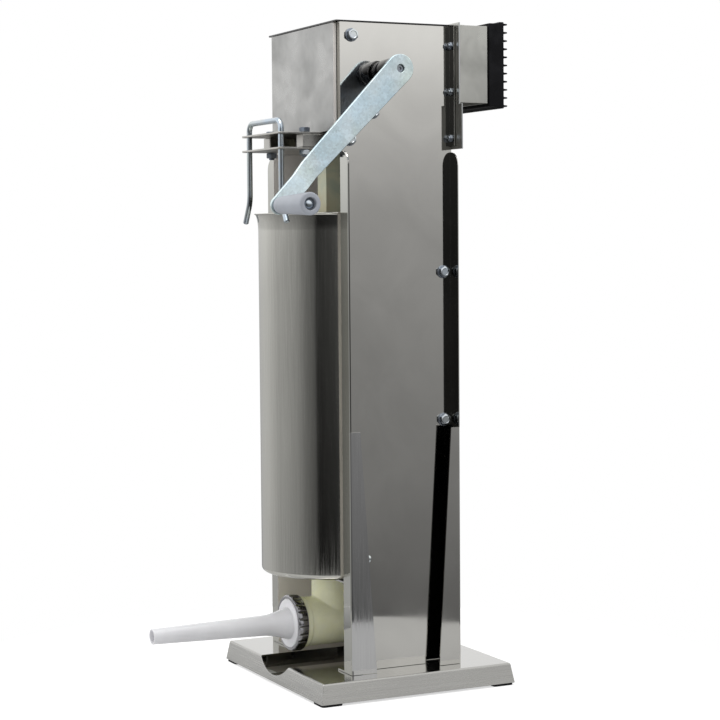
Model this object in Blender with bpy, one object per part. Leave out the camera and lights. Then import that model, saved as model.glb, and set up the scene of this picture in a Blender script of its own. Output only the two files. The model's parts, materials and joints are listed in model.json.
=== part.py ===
"""Vertical hand-cranked sausage stuffer, in metres, +Z up.

The machine stands on its base tray.  The funnel points to -Y, the crank is at +X.
Inside this file the axis of the meat cylinder is X = 0, Y = 0; the empty called
machine carries everything and shifts it so that the floor point under the middle
of the overall box is the origin.
"""
import bpy
import bmesh
from math import pi, sin, cos, tan, acos, hypot, radians, sqrt
from mathutils import Vector
from mathutils.geometry import delaunay_2d_cdt

# Clearances
GAP = 0.0003            # between two pieces that touch
RUN = 0.0004            # running clearance round a rod or sliding bar
SHAFT_PLAY = 0.00015    # radial clearance of the crank shaft in its bushes
HOLE_PLAY = 0.0003      # radial play of a fastener in its hole
FLANK_GAP = 0.00012     # each gear flank is set back by this

# Sheet metal
COLUMN_SHEET = 0.0015
TRAY_SHEET = 0.0015
SHELF_SHEET = 0.0015
LID_SHEET = 0.0015
YOKE_SHEET = 0.0018
BRACKET_SHEET = 0.0015

# Base tray and its feet
FOOT_HEIGHT = 0.002
FOOT_SIDE = 0.022
FOOT_INSET = 0.001
FOOT_ROUND = 0.003
TRAY_HEIGHT = 0.0195
TRAY_SIDE_MARGIN = 0.0355
TRAY_FRONT_MARGIN = 0.0395
TRAY_REAR_MARGIN = 0.044
TRAY_SPLAY = 0.0033
TRAY_LIP = 0.012
TROUGH_RADIUS = 0.0501
TROUGH_LENGTH = 0.130
TROUGH_STEPS = 64

# Column
CYLINDER_SIDE_ROOM = 0.008      # between the cylinder and each side panel
CYLINDER_REAR_ROOM = 0.0235
COLUMN_FRONT = -0.0255
HEAD_HEIGHT = 0.1024            # from the upper yoke plate to the top of the column
FLANGE = 0.0155
FLANGE_ROUND = 0.013
FLANGE_BEND = 0.002
FLANGE_BELOW_PLATE = 0.003
LIP_TOP = 0.256
FRONT_LIP = (0.0255, 0.0095)   # depth at the foot and at the top of the lip
REAR_LIP = (0.0225, 0.0085)
FOOT_TAB = 0.014
BACK_WING = 0.0165              # how far the back panel's wings reach forward
BACK_EDGE = 0.001
HEAD_FLANGE_IN = 0.0075
HEAD_FLANGE_REAR = 0.0085
HEAD_RELIEF = 0.006
STEP = 0.0001           # height over which a flange or a lip of the panels begins or ends

# Cylinder and its seat
CYLINDER_RADIUS = 0.071
CYLINDER_WALL = 0.001
CYLINDER_LENGTH = 0.3567
CYLINDER_FLOOR = 0.0012
CYLINDER_EDGE = 0.005
RIM_FLARE = 0.004
RIM_HEIGHT = 0.017
SEAT_HEIGHT = 0.1093
SHELF_SETBACK = 0.0035
SHELF_REAR = 0.060
SHELF_EAR = 0.030
SHELF_EAR_SETBACK = 0.002
SHELF_LIP = 0.016
SHELF_LIP_PLAY = 0.0005
SHEET_CORNER = 0.0006           # round at the corners of small ears

# Outlet, ring nut and funnel
SPOUT_Z = 0.0588
SPOUT_RADIUS = 0.0245
THREAD_RADIUS = 0.0255
THREAD_LENGTH = 0.012
SPOUT_FRONT = -0.0453
SPOUT_REAR = 0.024
SPOUT_BORE = 0.019
NECK_RADIUS = 0.0215
NECK_BORE = 0.0165
SPIGOT_WALL = 0.0022
SPOUT_EDGE = 0.0008
THREAD_RUNOUT = 0.001
SPOUT_BACK_ROUND = 0.006
SPOUT_BACK_WALL = 0.004
NECK_ROOT = 0.0023              # above the spout's axis, where the neck springs from it
NECK_BORE_ROOT = 0.0011
NUT_RADIUS = 0.028
NUT_LENGTH = 0.011
NUT_LIP = 0.0017
NUT_MOUTH = 0.0246
NUT_GRIPS = 24
GRIP_DEPTH = 0.0009
FUNNEL_TIP = -0.1934
FUNNEL_TIP_RADIUS = 0.0075
FUNNEL_NECK_RADIUS = 0.0101
FUNNEL_FLARE_RADIUS = 0.0165
FUNNEL_FLARE_LENGTH = 0.028
FUNNEL_WALL = 0.0013
FUNNEL_DISC = 0.002
FUNNEL_STEP = 0.0024
FUNNEL_EDGE = 0.0005

# Piston and rack
PISTON_PLAY = 0.0014
SEAL_PLAY = 0.0004
PISTON_CLEAR = 0.002
PISTON_PLATE = 0.008
PISTON_RIM = 0.022
PISTON_EDGE = 0.002
PISTON_RIM_WALL = 0.006
PISTON_RIB = 0.003
PISTON_RIB_BELOW_RIM = 0.002
PISTON_RIB_ROOT = 0.002         # how far a rib runs into the hub
PISTON_RIB_END = 0.004          # how far a rib's end lies inside the seal groove
PISTON_HUB = 0.020
PISTON_HUB_HEIGHT = 0.028
PISTON_RIBS = 6
SEAL_HEIGHT = 0.0075
SEAL_DEPTH = 0.0033
SEAL_LIP = (0.0006, 0.0012)     # chamfer of the seal's lips, in radius and height
SEAL_WAIST = 0.0008
PISTON_BOLT_RADIUS = 0.004
PISTON_BOLT_HEAD = (0.007, 0.0045)
PISTON_BOLT_SINK = 0.0005
PISTON_BOLT_REACH = 0.018
PISTON_BOLT_EDGE = 0.0005
RACK_WIDTH = 0.020
RACK_FRONT = -0.008
RACK_BELOW_LID = 0.0085
RACK_BOLT_HOLE = 0.020
RACK_PLAIN_END = 0.024
MODULE = 0.0015
PINION_TEETH = 14
PRESSURE_ANGLE = radians(20)
RACK_PITCH_Y = 0.0092
PINION_OVERHANG = 0.002         # how far the pinion reaches past each side of the rack
PINION_HUB = 0.009
PINION_HUB_RADIUS = 0.0102
PINION_PIN = 0.002
PINION_PIN_SINK = 0.0002

# Head
YOKE_CLEAR = 0.0611
SPACER_HEIGHT = 0.0122
YOKE_WIDTH = 0.094
YOKE_FRONT = -0.075
YOKE_CORNER = 0.004
YOKE_EAR_CORNER = 0.0008
YOKE_BOLT_BELOW = 0.007         # how far the yoke bolts reach under the lower plate
YOKE_NUT = 0.005
PLATE_TO_WING = 0.002           # from the head's plates to the back panel's wings
SPACER_SIZE = (0.0165, 0.028)
SPACER_ROUND = 0.0015
SPACER_FRONT = -0.050
YOKE_BOLT_X = 0.040
YOKE_BOLT_SETBACK = 0.0055
UPPER_EAR = 0.0262
LOWER_EAR_SPAN = (0.007, 0.014)  # how far the ears reach before and behind their bolts
UPPER_EAR_SPAN = (0.013, 0.016)
COVER_INSET = 0.0072
COVER_DEPTH = 0.0032
COVER_SHEET = 0.0012
COVER_ROUND = 0.0015
LID_OVERHANG = 0.0006
LID_ROUND = 0.002
LID_EAR = 0.024
LID_EAR_SHEET = 0.0012
GUIDE_BRACKET_FRONT = -0.0185
GUIDE_BRACKET_DEPTH = 0.0135
GUIDE_BRACKET_LOW = 0.0165
GUIDE_BRACKET_BELOW_LID = 0.004
GUIDE_HEIGHT = 0.026
GUIDE_CHEEK = 0.004

# Crank
CRANK_ABOVE_YOKE = 0.0567
SHAFT_RADIUS = 0.007
CRANK_NECK_RADIUS = 0.0083
CRANK_NECK = 0.0065
CRANK_HUB_RADIUS = 0.0113
CRANK_HUB_LENGTH = 0.0256
BUSH_WALL = 0.0014
BUSH_FLANGE = 0.0100
BUSH_FLANGE_THICK = 0.002
COLLAR_RADIUS = 0.0105
COLLAR_THICK = 0.004
SHAFT_STUB = 0.003
SHAFT_EDGE = 0.0008
BUSH_REACH = 0.003              # how far the bushes reach inside the panels
HUB_EDGE = 0.0006
CRANK_SCREW_RADIUS = 0.0030
CRANK_SCREW_HEAD = (0.0036, 0.0016)
CRANK_SCREW_LENGTH = 0.014
CRANK_SCREW_HOLE = 0.016
CRANK_SCREW_SOCKET = (0.003, 0.0011)
ARM_THICK = 0.0035
ARM_HUB_ROUND = 0.0136
ARM_GRIP_ROUND = 0.0087
ARM_REACH = (-0.1279, -0.1288)  # grip axis from crank axis, along Y and Z
ARM_JOGGLE = 0.0055
JOGGLE_START = 0.046
JOGGLE_LENGTH = 0.017
GRIP_LENGTH = 0.0668
GRIP_SMALL_RADIUS = 0.0077
GRIP_LARGE_RADIUS = 0.0103
GRIP_BORE = 0.0035
GRIP_SINK_RADIUS = 0.0058
GRIP_SINK_DEPTH = 0.0065
GRIP_EDGE = 0.0012
GRIP_SMALL_EDGE = 0.0008
HANDLE_BOLT_HEAD = 0.0048
HANDLE_BOLT_RIM = 0.0026
HANDLE_BOLT_CROWN = 0.0010
HANDLE_BOLT_DOME = 0.0002
HANDLE_BOLT_EDGE = 0.0009
HANDLE_BOLT_TAIL = 0.0065
HANDLE_NUT = 0.0045

# Lock pin
PIN_ROD = 0.0028
PIN_HALF_SPAN = 0.039
PIN_SETBACK = 0.006
PIN_BEND = 0.0085
PIN_ABOVE_YOKE = 0.0117
PIN_STRAIGHT = 0.0487
PIN_KNEE = 0.004
PIN_KICK = (0.012, 0.0215)     # outwards and down, below the straight legs

# Rear bracket and foot
BRACKET_ABOVE_LID = 0.001
BRACKET_DROP = 0.122
BRACKET_LOW_EAR = 0.0205        # how far the plate's lower part stands out past the panels
BRACKET_HIGH_EAR = 0.0155
BRACKET_STEP_HEIGHT = 0.0438
CHANNEL_HEIGHT = 0.0760
CHANNEL_SETBACK = 0.0004
CHANNEL_INSET = 0.0005
CHANNEL_DEPTH = 0.0412
CHANNEL_JOG = 0.0014
CHANNEL_JOG_SPAN = (0.0125, 0.0175)
CHANNEL_EDGE = 0.001
PAD_DEPTH = 0.0167
PAD_OVERLAP = 0.003
PAD_SIDE_OVERLAP = 0.0002
PAD_BULGE = (0.0060, 0.0050, 0.0016)   # starts and stands this far before and past the rib face
PAD_RIB = (0.0020, 0.0040)     # rib width and height
PAD_RIB_PITCH = 0.0080

# Fasteners
BOLT_RADIUS = 0.0029
BOLT_HEAD_FLATS = 0.0098
BOLT_HEAD = 0.0040
BOLT_HEAD_EDGE = 0.0006
HEAD_COLLAR = 0.0005
BASE_SCREW_LENGTH = 0.008
WASHER_RADIUS = 0.0064
WASHER_THICK = 0.0012
SIDE_BOLT_LENGTH = 0.010
STUD_RADIUS = 0.0022
STUD_NUT = 0.0026
STUD_NUT_FLATS = 0.0068
STUD_TAIL = 0.0012
STUD_DROPS = (0.0220, 0.0665, 0.1115)  # below the top of the rear bracket
RIVET_RADIUS = 0.0024
RIVET_HEAD_RADIUS = 0.0040
RIVET_CROWN = 0.0013
RIVET_FLAT = 0.7                # share of the head's radius that the flat top takes
RIVET_RISE = 0.0215             # above the cylinder's seat
BACK_BOLT_HEIGHTS = (0.263, 0.408)
BACK_BOLT_INSET = 0.0101
LID_BOLT_SETBACK = 0.005
LID_BOLT_DROP = 0.0125
LOWER_BOLT_Y = -0.0164
LOWER_BOLT_RISE = 0.0063
UPPER_BOLT_Y = 0.0085
UPPER_BOLT_RISE = 0.0178
BASE_SCREW_YS = (-0.005, 0.075)
CUT = 0.001                     # how far a cutter stands out past the face it cuts

# Places worked out from the sizes above
PANEL_IN = CYLINDER_RADIUS + CYLINDER_SIDE_ROOM
PANEL_OUT = PANEL_IN + COLUMN_SHEET
INSIDE = PANEL_IN - GAP
COLUMN_REAR = CYLINDER_RADIUS + CYLINDER_REAR_ROOM
TRAY_HALF = PANEL_OUT + TRAY_SIDE_MARGIN
TRAY_FRONT = COLUMN_FRONT - TRAY_FRONT_MARGIN
TRAY_REAR = COLUMN_REAR + TRAY_REAR_MARGIN
TRAY_LOW = FOOT_HEIGHT + GAP
DECK_Z = TRAY_LOW + TRAY_HEIGHT
COLUMN_LOW = DECK_Z + GAP
SHELF_FRONT = COLUMN_FRONT + SHELF_SETBACK
CYLINDER_LOW = SEAT_HEIGHT + GAP
CYLINDER_TOP = CYLINDER_LOW + CYLINDER_LENGTH
LOWER_PLATE_Z = CYLINDER_TOP + YOKE_CLEAR
SPACER_Z = LOWER_PLATE_Z + YOKE_SHEET + GAP
UPPER_PLATE_Z = SPACER_Z + SPACER_HEIGHT + GAP
HEAD_LOW = UPPER_PLATE_Z + YOKE_SHEET + GAP
COLUMN_TOP = HEAD_LOW + HEAD_HEIGHT
FLANGE_TOP = LOWER_PLATE_Z - FLANGE_BELOW_PLATE
PLATE_REAR = COLUMN_REAR - BACK_WING - PLATE_TO_WING
LID_Z = COLUMN_TOP + GAP
CYLINDER_BORE = CYLINDER_RADIUS - CYLINDER_WALL
PITCH_RADIUS = MODULE * PINION_TEETH / 2
CRANK_Y = RACK_PITCH_Y + PITCH_RADIUS
CRANK_Z = UPPER_PLATE_Z + YOKE_SHEET + CRANK_ABOVE_YOKE
TOOTH_PITCH = pi * MODULE
ADDENDUM = 0.9 * MODULE
DEDENDUM = 1.25 * MODULE
PISTON_LOW = CYLINDER_LOW + CYLINDER_FLOOR + PISTON_CLEAR
RACK_LOW = PISTON_LOW + PISTON_PLATE + GAP
RACK_TOP = LID_Z - RACK_BELOW_LID
RACK_TIP_Y = RACK_PITCH_Y + ADDENDUM
RACK_BACK_Y = RACK_PITCH_Y - DEDENDUM
HUB_START = PANEL_OUT + GAP + BUSH_FLANGE_THICK + GAP
ARM_IN = HUB_START + CRANK_NECK + CRANK_HUB_LENGTH + GAP
ARM_LENGTH = hypot(*ARM_REACH)
GRIP_Y = CRANK_Y + ARM_REACH[0]
GRIP_Z = CRANK_Z + ARM_REACH[1]
GRIP_START = ARM_IN + ARM_THICK + ARM_JOGGLE + RUN
GRIP_END = GRIP_START + GRIP_LENGTH
PIN_Y = YOKE_FRONT + PIN_SETBACK
PIN_TOP = UPPER_PLATE_Z + YOKE_SHEET + PIN_ABOVE_YOKE
YOKE_BOLT_Y = SPACER_FRONT + YOKE_BOLT_SETBACK
PIN_RADIUS_HOLE = PIN_ROD + RUN
BOLT_HOLE = BOLT_RADIUS + HOLE_PLAY
BRACKET_Y = COLUMN_REAR + GAP
BRACKET_TOP = LID_Z + LID_SHEET + BRACKET_ABOVE_LID
BRACKET_LOW = BRACKET_TOP - BRACKET_DROP
CHANNEL_HALF = PANEL_OUT - CHANNEL_INSET
CHANNEL_LOW = BRACKET_TOP - CHANNEL_HEIGHT
CHANNEL_END = BRACKET_Y + CHANNEL_DEPTH + BRACKET_SHEET
PAD_START = CHANNEL_END + GAP
PAD_END = PAD_START + PAD_DEPTH + PAD_RIB[1]
NUT_FRONT = SPOUT_FRONT - GAP - FUNNEL_DISC - GAP - NUT_LIP
LID_BOLT = (GUIDE_BRACKET_FRONT + LID_BOLT_SETBACK, LID_Z - LID_BOLT_DROP)
LOWER_BOLT = (LOWER_BOLT_Y, LOWER_PLATE_Z + YOKE_SHEET + LOWER_BOLT_RISE)
UPPER_BOLT = (UPPER_BOLT_Y, UPPER_PLATE_Z + YOKE_SHEET + UPPER_BOLT_RISE)
BACK_BOLT_Y = COLUMN_REAR - BACK_BOLT_INSET
BASE_SCREW_X = PANEL_IN - FOOT_TAB / 2
SHELF_RIVET = (0.0, SEAT_HEIGHT + RIVET_RISE)
STUD_HEIGHTS = [BRACKET_TOP - drop for drop in STUD_DROPS]
TRAY_HALF_LOW = TRAY_HALF + TRAY_SPLAY
SHIFT = Vector(((TRAY_HALF_LOW - GRIP_END) / 2, -(FUNNEL_TIP + PAD_END) / 2, 0.0))

AXES = {"XY": (0, 1, 2), "XZ": (0, 2, 1), "YZ": (1, 2, 0)}
AXIS_OF = {"X": "YZ", "Y": "XZ", "Z": "XY"}


# Drawing helpers

def arc(cx, cy, radius, start, end, steps):
    """Points of an arc, both ends included, angles in degrees."""
    angles = [radians(start + (end - start) * i / steps) for i in range(steps + 1)]
    return [(cx + radius * cos(a), cy + radius * sin(a)) for a in angles]


def circle(cx, cy, radius, steps=20):
    return arc(cx, cy, radius, 0, 360, steps)[:-1]


def hexagon(cx, cy, flats):
    return circle(cx, cy, flats / sqrt(3), 6)


def box2(x0, x1, y0, y1):
    return [(x0, y0), (x1, y0), (x1, y1), (x0, y1)]


def rounded_box(x0, x1, y0, y1, radius, steps=3):
    points = arc(x1 - radius, y1 - radius, radius, 0, 90, steps)
    points += arc(x0 + radius, y1 - radius, radius, 90, 180, steps)
    points += arc(x0 + radius, y0 + radius, radius, 180, 270, steps)
    return points + arc(x1 - radius, y0 + radius, radius, 270, 360, steps)


def at(plane, point, height):
    """The 3-D point of a drawing point, height being measured off the plane."""
    first, second, third = AXES[plane]
    place = [0.0, 0.0, 0.0]
    place[first], place[second], place[third] = point[0], point[1], height
    return Vector(place)


class Net:
    """Collects faces by their corner points; equal points become one vertex."""

    def __init__(self):
        self.bm = bmesh.new()
        self.verts = {}

    def vert(self, point):
        key = tuple(round(value, 7) for value in point)
        if key not in self.verts:
            self.verts[key] = self.bm.verts.new(point)
        return self.verts[key]

    def face(self, points):
        corners = []
        for point in points:
            corner = self.vert(point)
            if not corners or corner is not corners[-1]:
                corners.append(corner)
        if len(corners) > 1 and corners[0] is corners[-1]:
            corners.pop()
        if len(corners) > 2 and self.bm.faces.get(corners) is None:
            self.bm.faces.new(corners)

    def done(self):
        bmesh.ops.recalc_face_normals(self.bm, faces=self.bm.faces[:])
        return self.bm


def filled(loops):
    """Splits a drawing, the outline first and then its holes, into triangles."""
    points = []
    edges = []
    for loop in loops:
        first = len(points)
        points += loop
        edges += [(first + i, first + (i + 1) % len(loop)) for i in range(len(loop))]
    made = delaunay_2d_cdt([Vector(point) for point in points], edges, [], 1, 1e-7, False)
    pieces = []
    for corners in made[2]:
        piece = [tuple(made[0][i]) for i in corners]
        x, y = sum(p[0] for p in piece) / len(piece), sum(p[1] for p in piece) / len(piece)
        crossings = 0
        for first, second in edges:
            (ax, ay), (bx, by) = points[first], points[second]
            if (ay > y) != (by > y) and x < ax + (bx - ax) * (y - ay) / (by - ay):
                crossings += 1
        if crossings % 2:
            pieces.append(piece)
    return pieces


def convex(outline):
    turns = []
    for i, (x, y) in enumerate(outline):
        (ax, ay), (bx, by) = outline[i - 2], outline[i - 1]
        turns.append((bx - ax) * (y - by) - (by - ay) * (x - bx))
    return min(turns) > -1e-12 or max(turns) < 1e-12


def prism(outline, low, high, plane="XY", holes=()):
    """A drawing with holes, extruded at right angles to its plane."""
    net = Net()
    loops = [outline, *holes]
    pieces = [outline] if not holes and convex(outline) else filled(loops)
    for level in (low, high):
        for piece in pieces:
            net.face([at(plane, point, level) for point in piece])
    for loop in loops:
        for i, point in enumerate(loop):
            before = loop[i - 1]
            net.face([at(plane, before, low), at(plane, point, low),
                      at(plane, point, high), at(plane, before, high)])
    return net.done()


def box(x0, x1, y0, y1, z0, z1):
    return prism(box2(x0, x1, y0, y1), z0, z1)


def loft(rings, level_ends=False):
    """Skins a stack of rings that all have as many points, and closes both ends.

    Ends that lie level are filled with triangles, so they may be hollow-sided.
    """
    net = Net()
    for low, high in zip(rings, rings[1:]):
        for i in range(len(low)):
            net.face([low[i - 1], low[i], high[i], high[i - 1]])
    for ring in (rings[0], rings[-1]):
        if level_ends:
            outline = []
            for point in ring:
                if not outline or (Vector(point[:2]) - Vector(outline[-1])).length > 1e-7:
                    outline.append((point[0], point[1]))
            for piece in filled([outline]):
                net.face([at("XY", point, ring[0][2]) for point in piece])
        else:
            net.face(ring)
    return net.done()


def turned(profile, axis="Z", centre=(0.0, 0.0), steps=48):
    """A closed profile of (radius, place along the axis) turned about that axis."""
    net = Net()
    plane = AXIS_OF[axis]
    for i, (radius, along) in enumerate(profile):
        radius_before, along_before = profile[i - 1]
        wide = max(radius, radius_before)
        turns = [2 * pi * k / steps for k in range(steps)]
        if wide == 0.0:
            continue
        if min(radius, radius_before) == 0.0 and along == along_before:
            net.face([at(plane, (centre[0] + wide * cos(a), centre[1] + wide * sin(a)), along)
                      for a in turns])
            continue
        for a0, a1 in zip(turns, turns[1:] + turns[:1]):
            corners = [(radius_before, along_before, a0), (radius_before, along_before, a1),
                       (radius, along, a1), (radius, along, a0)]
            net.face([at(plane, (centre[0] + r * cos(a), centre[1] + r * sin(a)), h)
                      for r, h, a in corners])
    return net.done()


def cylinder(radius, low, high, axis="Z", centre=(0.0, 0.0), steps=20):
    return prism(circle(*centre, radius, steps), low, high, AXIS_OF[axis])


def rod(route, y, radius, steps=12):
    """Round rod swept along a route in an upright plane at y."""
    rings = []
    for i, (x, z) in enumerate(route):
        ahead = Vector(route[min(i + 1, len(route) - 1)]) - Vector((x, z))
        behind = Vector((x, z)) - Vector(route[max(i - 1, 0)])
        way = (ahead.normalized() + behind.normalized()).normalized()
        across = Vector((way.y, 0.0, -way.x))
        centre = Vector((x, y, z))
        rings.append([centre + across * (radius * cos(2 * pi * k / steps))
                      + Vector((0.0, radius * sin(2 * pi * k / steps), 0.0)) for k in range(steps)])
    return loft(rings)


def hexagon_in(cx, cy, flats):
    """Hexagon with a point in the middle of each side."""
    corners = hexagon(cx, cy, flats)
    points = []
    for i, corner in enumerate(corners):
        after = corners[(i + 1) % 6]
        points += [corner, ((corner[0] + after[0]) / 2, (corner[1] + after[1]) / 2)]
    return points


# Scene helpers

def clear_scene():
    for thing in list(bpy.data.objects):
        bpy.data.objects.remove(thing, do_unlink=True)


def make_material(name, colour, roughness, metallic=0.0):
    material = bpy.data.materials.new(name)
    material.use_nodes = True
    shader = material.node_tree.nodes["Principled BSDF"]
    shader.inputs["Base Color"].default_value = (*colour, 1.0)
    shader.inputs["Roughness"].default_value = roughness
    shader.inputs["Metallic"].default_value = metallic
    material.diffuse_color = (*colour, 1.0)
    return material


FINISHES = {
    "polished_steel": ((0.62, 0.60, 0.57), 0.08, 1.0),
    "brushed_steel": ((0.58, 0.57, 0.55), 0.32, 1.0),
    "zinc_plate": ((0.66, 0.70, 0.72), 0.35, 1.0),
    "yellow_zinc": ((0.68, 0.64, 0.36), 0.35, 1.0),
    "dark_steel": ((0.10, 0.10, 0.11), 0.25, 1.0),
    "cream_plastic": ((0.78, 0.78, 0.56), 0.40, 0.0),
    "white_plastic": ((0.84, 0.84, 0.85), 0.40, 0.0),
    "grey_plastic": ((0.44, 0.44, 0.50), 0.45, 0.0),
    "black_rubber": ((0.015, 0.015, 0.018), 0.75, 0.0),
}


def put(mesh_data, name, finish, origin, smooth):
    """Makes the object, with its own origin, hanging from the machine's empty."""
    centre = Vector(origin)
    bmesh.ops.translate(mesh_data, verts=mesh_data.verts[:], vec=-centre)
    mesh = bpy.data.meshes.new(name)
    mesh_data.to_mesh(mesh)
    mesh_data.free()
    if smooth:
        mesh.shade_smooth()
        mesh.set_sharp_from_angle(angle=radians(smooth))
    thing = bpy.data.objects.new(name, mesh)
    bpy.context.scene.collection.objects.link(thing)
    thing.parent = bpy.data.objects["machine"]
    thing.location = centre
    if finish:
        mesh.materials.append(make_material(name, *FINISHES[finish]))
    return thing


def solid(name, mesh_data, finish, origin=(0.0, 0.0, 0.0), smooth=35):
    return put(mesh_data, name, finish, origin, smooth)


def merged(parts):
    """Several closed meshes in one, for a cutter with separate teeth."""
    whole = bmesh.new()
    for part in parts:
        holder = bpy.data.meshes.new("holder")
        part.to_mesh(holder)
        part.free()
        whole.from_mesh(holder)
        bpy.data.meshes.remove(holder)
    return whole


def operate(target, parts, operation):
    helper = put(merged(parts), f"{target.name}_tool_{len(target.modifiers) + 1}", None, (0, 0, 0), 0)
    helper.hide_render = True
    helper.display_type = "WIRE"
    step = target.modifiers.new(operation.lower(), "BOOLEAN")
    step.operation = operation
    step.solver = "EXACT"
    step.object = helper
    return target


def cut(target, *parts):
    return operate(target, parts, "DIFFERENCE")


def fuse(target, *parts):
    for part in parts:
        operate(target, [part], "UNION")
    return target


# Base

def frustum(inset, low, high):
    """Block with the tray's outline and splay, drawn in by inset."""
    rings = []
    for z in (low, high):
        splay = TRAY_SPLAY * (DECK_Z - z) / TRAY_HEIGHT - inset
        half = TRAY_HALF + splay
        outline = box2(-half, half, TRAY_FRONT - splay, TRAY_REAR + splay)
        rings.append([Vector((x, y, z)) for x, y in outline])
    return loft(rings)


def base_tray():
    trough_end = TRAY_FRONT + TROUGH_LENGTH
    tray = solid("base_tray", frustum(0.0, TRAY_LOW, DECK_Z), "brushed_steel", smooth=20)
    cavity = put(frustum(TRAY_SHEET, TRAY_LOW + TRAY_SHEET, DECK_Z - TRAY_SHEET),
                 "base_tray_cavity", None, (0, 0, 0), 0)
    cavity.hide_render = True
    cavity.display_type = "WIRE"
    shell = cylinder(TROUGH_RADIUS + TRAY_SHEET, 2 * TRAY_FRONT, trough_end + TRAY_SHEET, "Y",
                     (0.0, SPOUT_Z), TROUGH_STEPS)
    cut(cavity, shell)
    hollow = tray.modifiers.new("hollow", "BOOLEAN")
    hollow.solver = "EXACT"
    hollow.object = cavity
    half = TRAY_HALF_LOW - TRAY_LIP
    front, rear = TRAY_FRONT - TRAY_SPLAY + TRAY_LIP, TRAY_REAR + TRAY_SPLAY - TRAY_LIP
    cut(tray, box(-half, half, front, rear, TRAY_LOW - CUT, TRAY_LOW + TRAY_SHEET + CUT / 2))
    cut(tray, cylinder(TROUGH_RADIUS, 2 * TRAY_FRONT, trough_end, "Y", (0.0, SPOUT_Z), TROUGH_STEPS))
    places = [(side * BASE_SCREW_X, y) for side in (-1, 1) for y in BASE_SCREW_YS]
    cut(tray, *[cylinder(BOLT_HOLE, DECK_Z - TRAY_SHEET - CUT, DECK_Z + CUT, "Z", place, 12)
                for place in places])


def base_feet():
    half = TRAY_HALF_LOW - FOOT_INSET
    front = TRAY_FRONT - TRAY_SPLAY + FOOT_INSET
    rear = TRAY_REAR + TRAY_SPLAY - FOOT_INSET
    for side, word in ((1, "right"), (-1, "left")):
        for end, edge in (("front", front), ("rear", rear)):
            inner = edge + FOOT_SIDE if end == "front" else edge - FOOT_SIDE
            xs = sorted((side * half, side * (half - FOOT_SIDE)))
            ys = sorted((edge, inner))
            solid(f"base_foot_{end}_{word}", prism(rounded_box(*xs, *ys, FOOT_ROUND), 0.0, FOOT_HEIGHT),
                  "black_rubber")


def hex_bolt(name, axis, centre, seat, length, outward, washer=True):
    """Hex head, with a washer or a low collar under it, and its shank running inwards."""
    plane = AXIS_OF[axis]
    base = seat + outward * GAP
    top = base + outward * (WASHER_THICK if washer else HEAD_COLLAR)
    head_top = top + outward * BOLT_HEAD
    foot_radius = WASHER_RADIUS if washer else BOLT_HEAD_FLATS / 2 - HEAD_COLLAR
    edge = BOLT_HEAD_EDGE
    flats = BOLT_HEAD_FLATS
    shank = circle(*centre, BOLT_RADIUS, 12)
    foot = circle(*centre, foot_radius, 12)
    stack = [(shank, seat - outward * length), (shank, base), (foot, base), (foot, top),
             (hexagon_in(*centre, flats), top), (hexagon_in(*centre, flats), head_top - outward * edge),
             (hexagon_in(*centre, flats - 2.4 * edge), head_top)]
    rings = [[at(plane, point, place) for point in outline] for outline, place in stack]
    return solid(name, loft(rings), "zinc_plate")


def base_screws():
    """Screws from below, through the deck and the tabs at the foot of the column."""
    underside = DECK_Z - TRAY_SHEET
    for side, word in ((1, "right"), (-1, "left")):
        for y, end in zip(BASE_SCREW_YS, ("front", "rear")):
            hex_bolt(f"base_screw_{end}_{word}", "Z", (side * BASE_SCREW_X, y), underside,
                     BASE_SCREW_LENGTH, -1, washer=False)


# Column

def lip_depth(lip, z):
    """Depth of a flange's return lip at a height; it narrows upwards."""
    if z > LIP_TOP:
        return 0.0
    share = (z - COLUMN_LOW) / (LIP_TOP - COLUMN_LOW)
    return lip[0] + (lip[1] - lip[0]) * share


def panel_ring(side, z, out_front, out_rear, inward, front_lip, rear_lip, tab):
    """Horizontal section through a side panel, always with as many corners."""
    t = COLUMN_SHEET
    front, rear = COLUMN_FRONT, COLUMN_REAR
    bend_f = min(FLANGE_BEND, out_front, front_lip + t)
    bend_r = min(FLANGE_BEND, out_rear, rear_lip + t)
    tip_f, tip_r = PANEL_OUT + out_front, PANEL_OUT + out_rear
    back_f, back_r = max(PANEL_OUT, tip_f - t), max(PANEL_OUT, tip_r - t)
    bevel = 1 - sqrt(0.5)
    points = [
        (PANEL_IN - max(inward, tab), front),
        (tip_f - bend_f, front),
        (tip_f - bend_f * bevel, front + bend_f * bevel),
        (tip_f, front + bend_f),
        (tip_f, front + t + front_lip),
        (back_f, front + t + front_lip),
        (back_f, front + t),
        (PANEL_OUT, front + t),
        (PANEL_OUT, rear - t),
        (back_r, rear - t),
        (back_r, rear - t - rear_lip),
        (tip_r, rear - t - rear_lip),
        (tip_r, rear - bend_r),
        (tip_r - bend_r * bevel, rear - bend_r * bevel),
        (tip_r - bend_r, rear),
        (PANEL_IN - tab, rear),
        (PANEL_IN - tab, front + t),
        (PANEL_IN - max(inward, tab), front + t),
    ]
    return [Vector((side * x, y, z)) for x, y in points]


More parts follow.
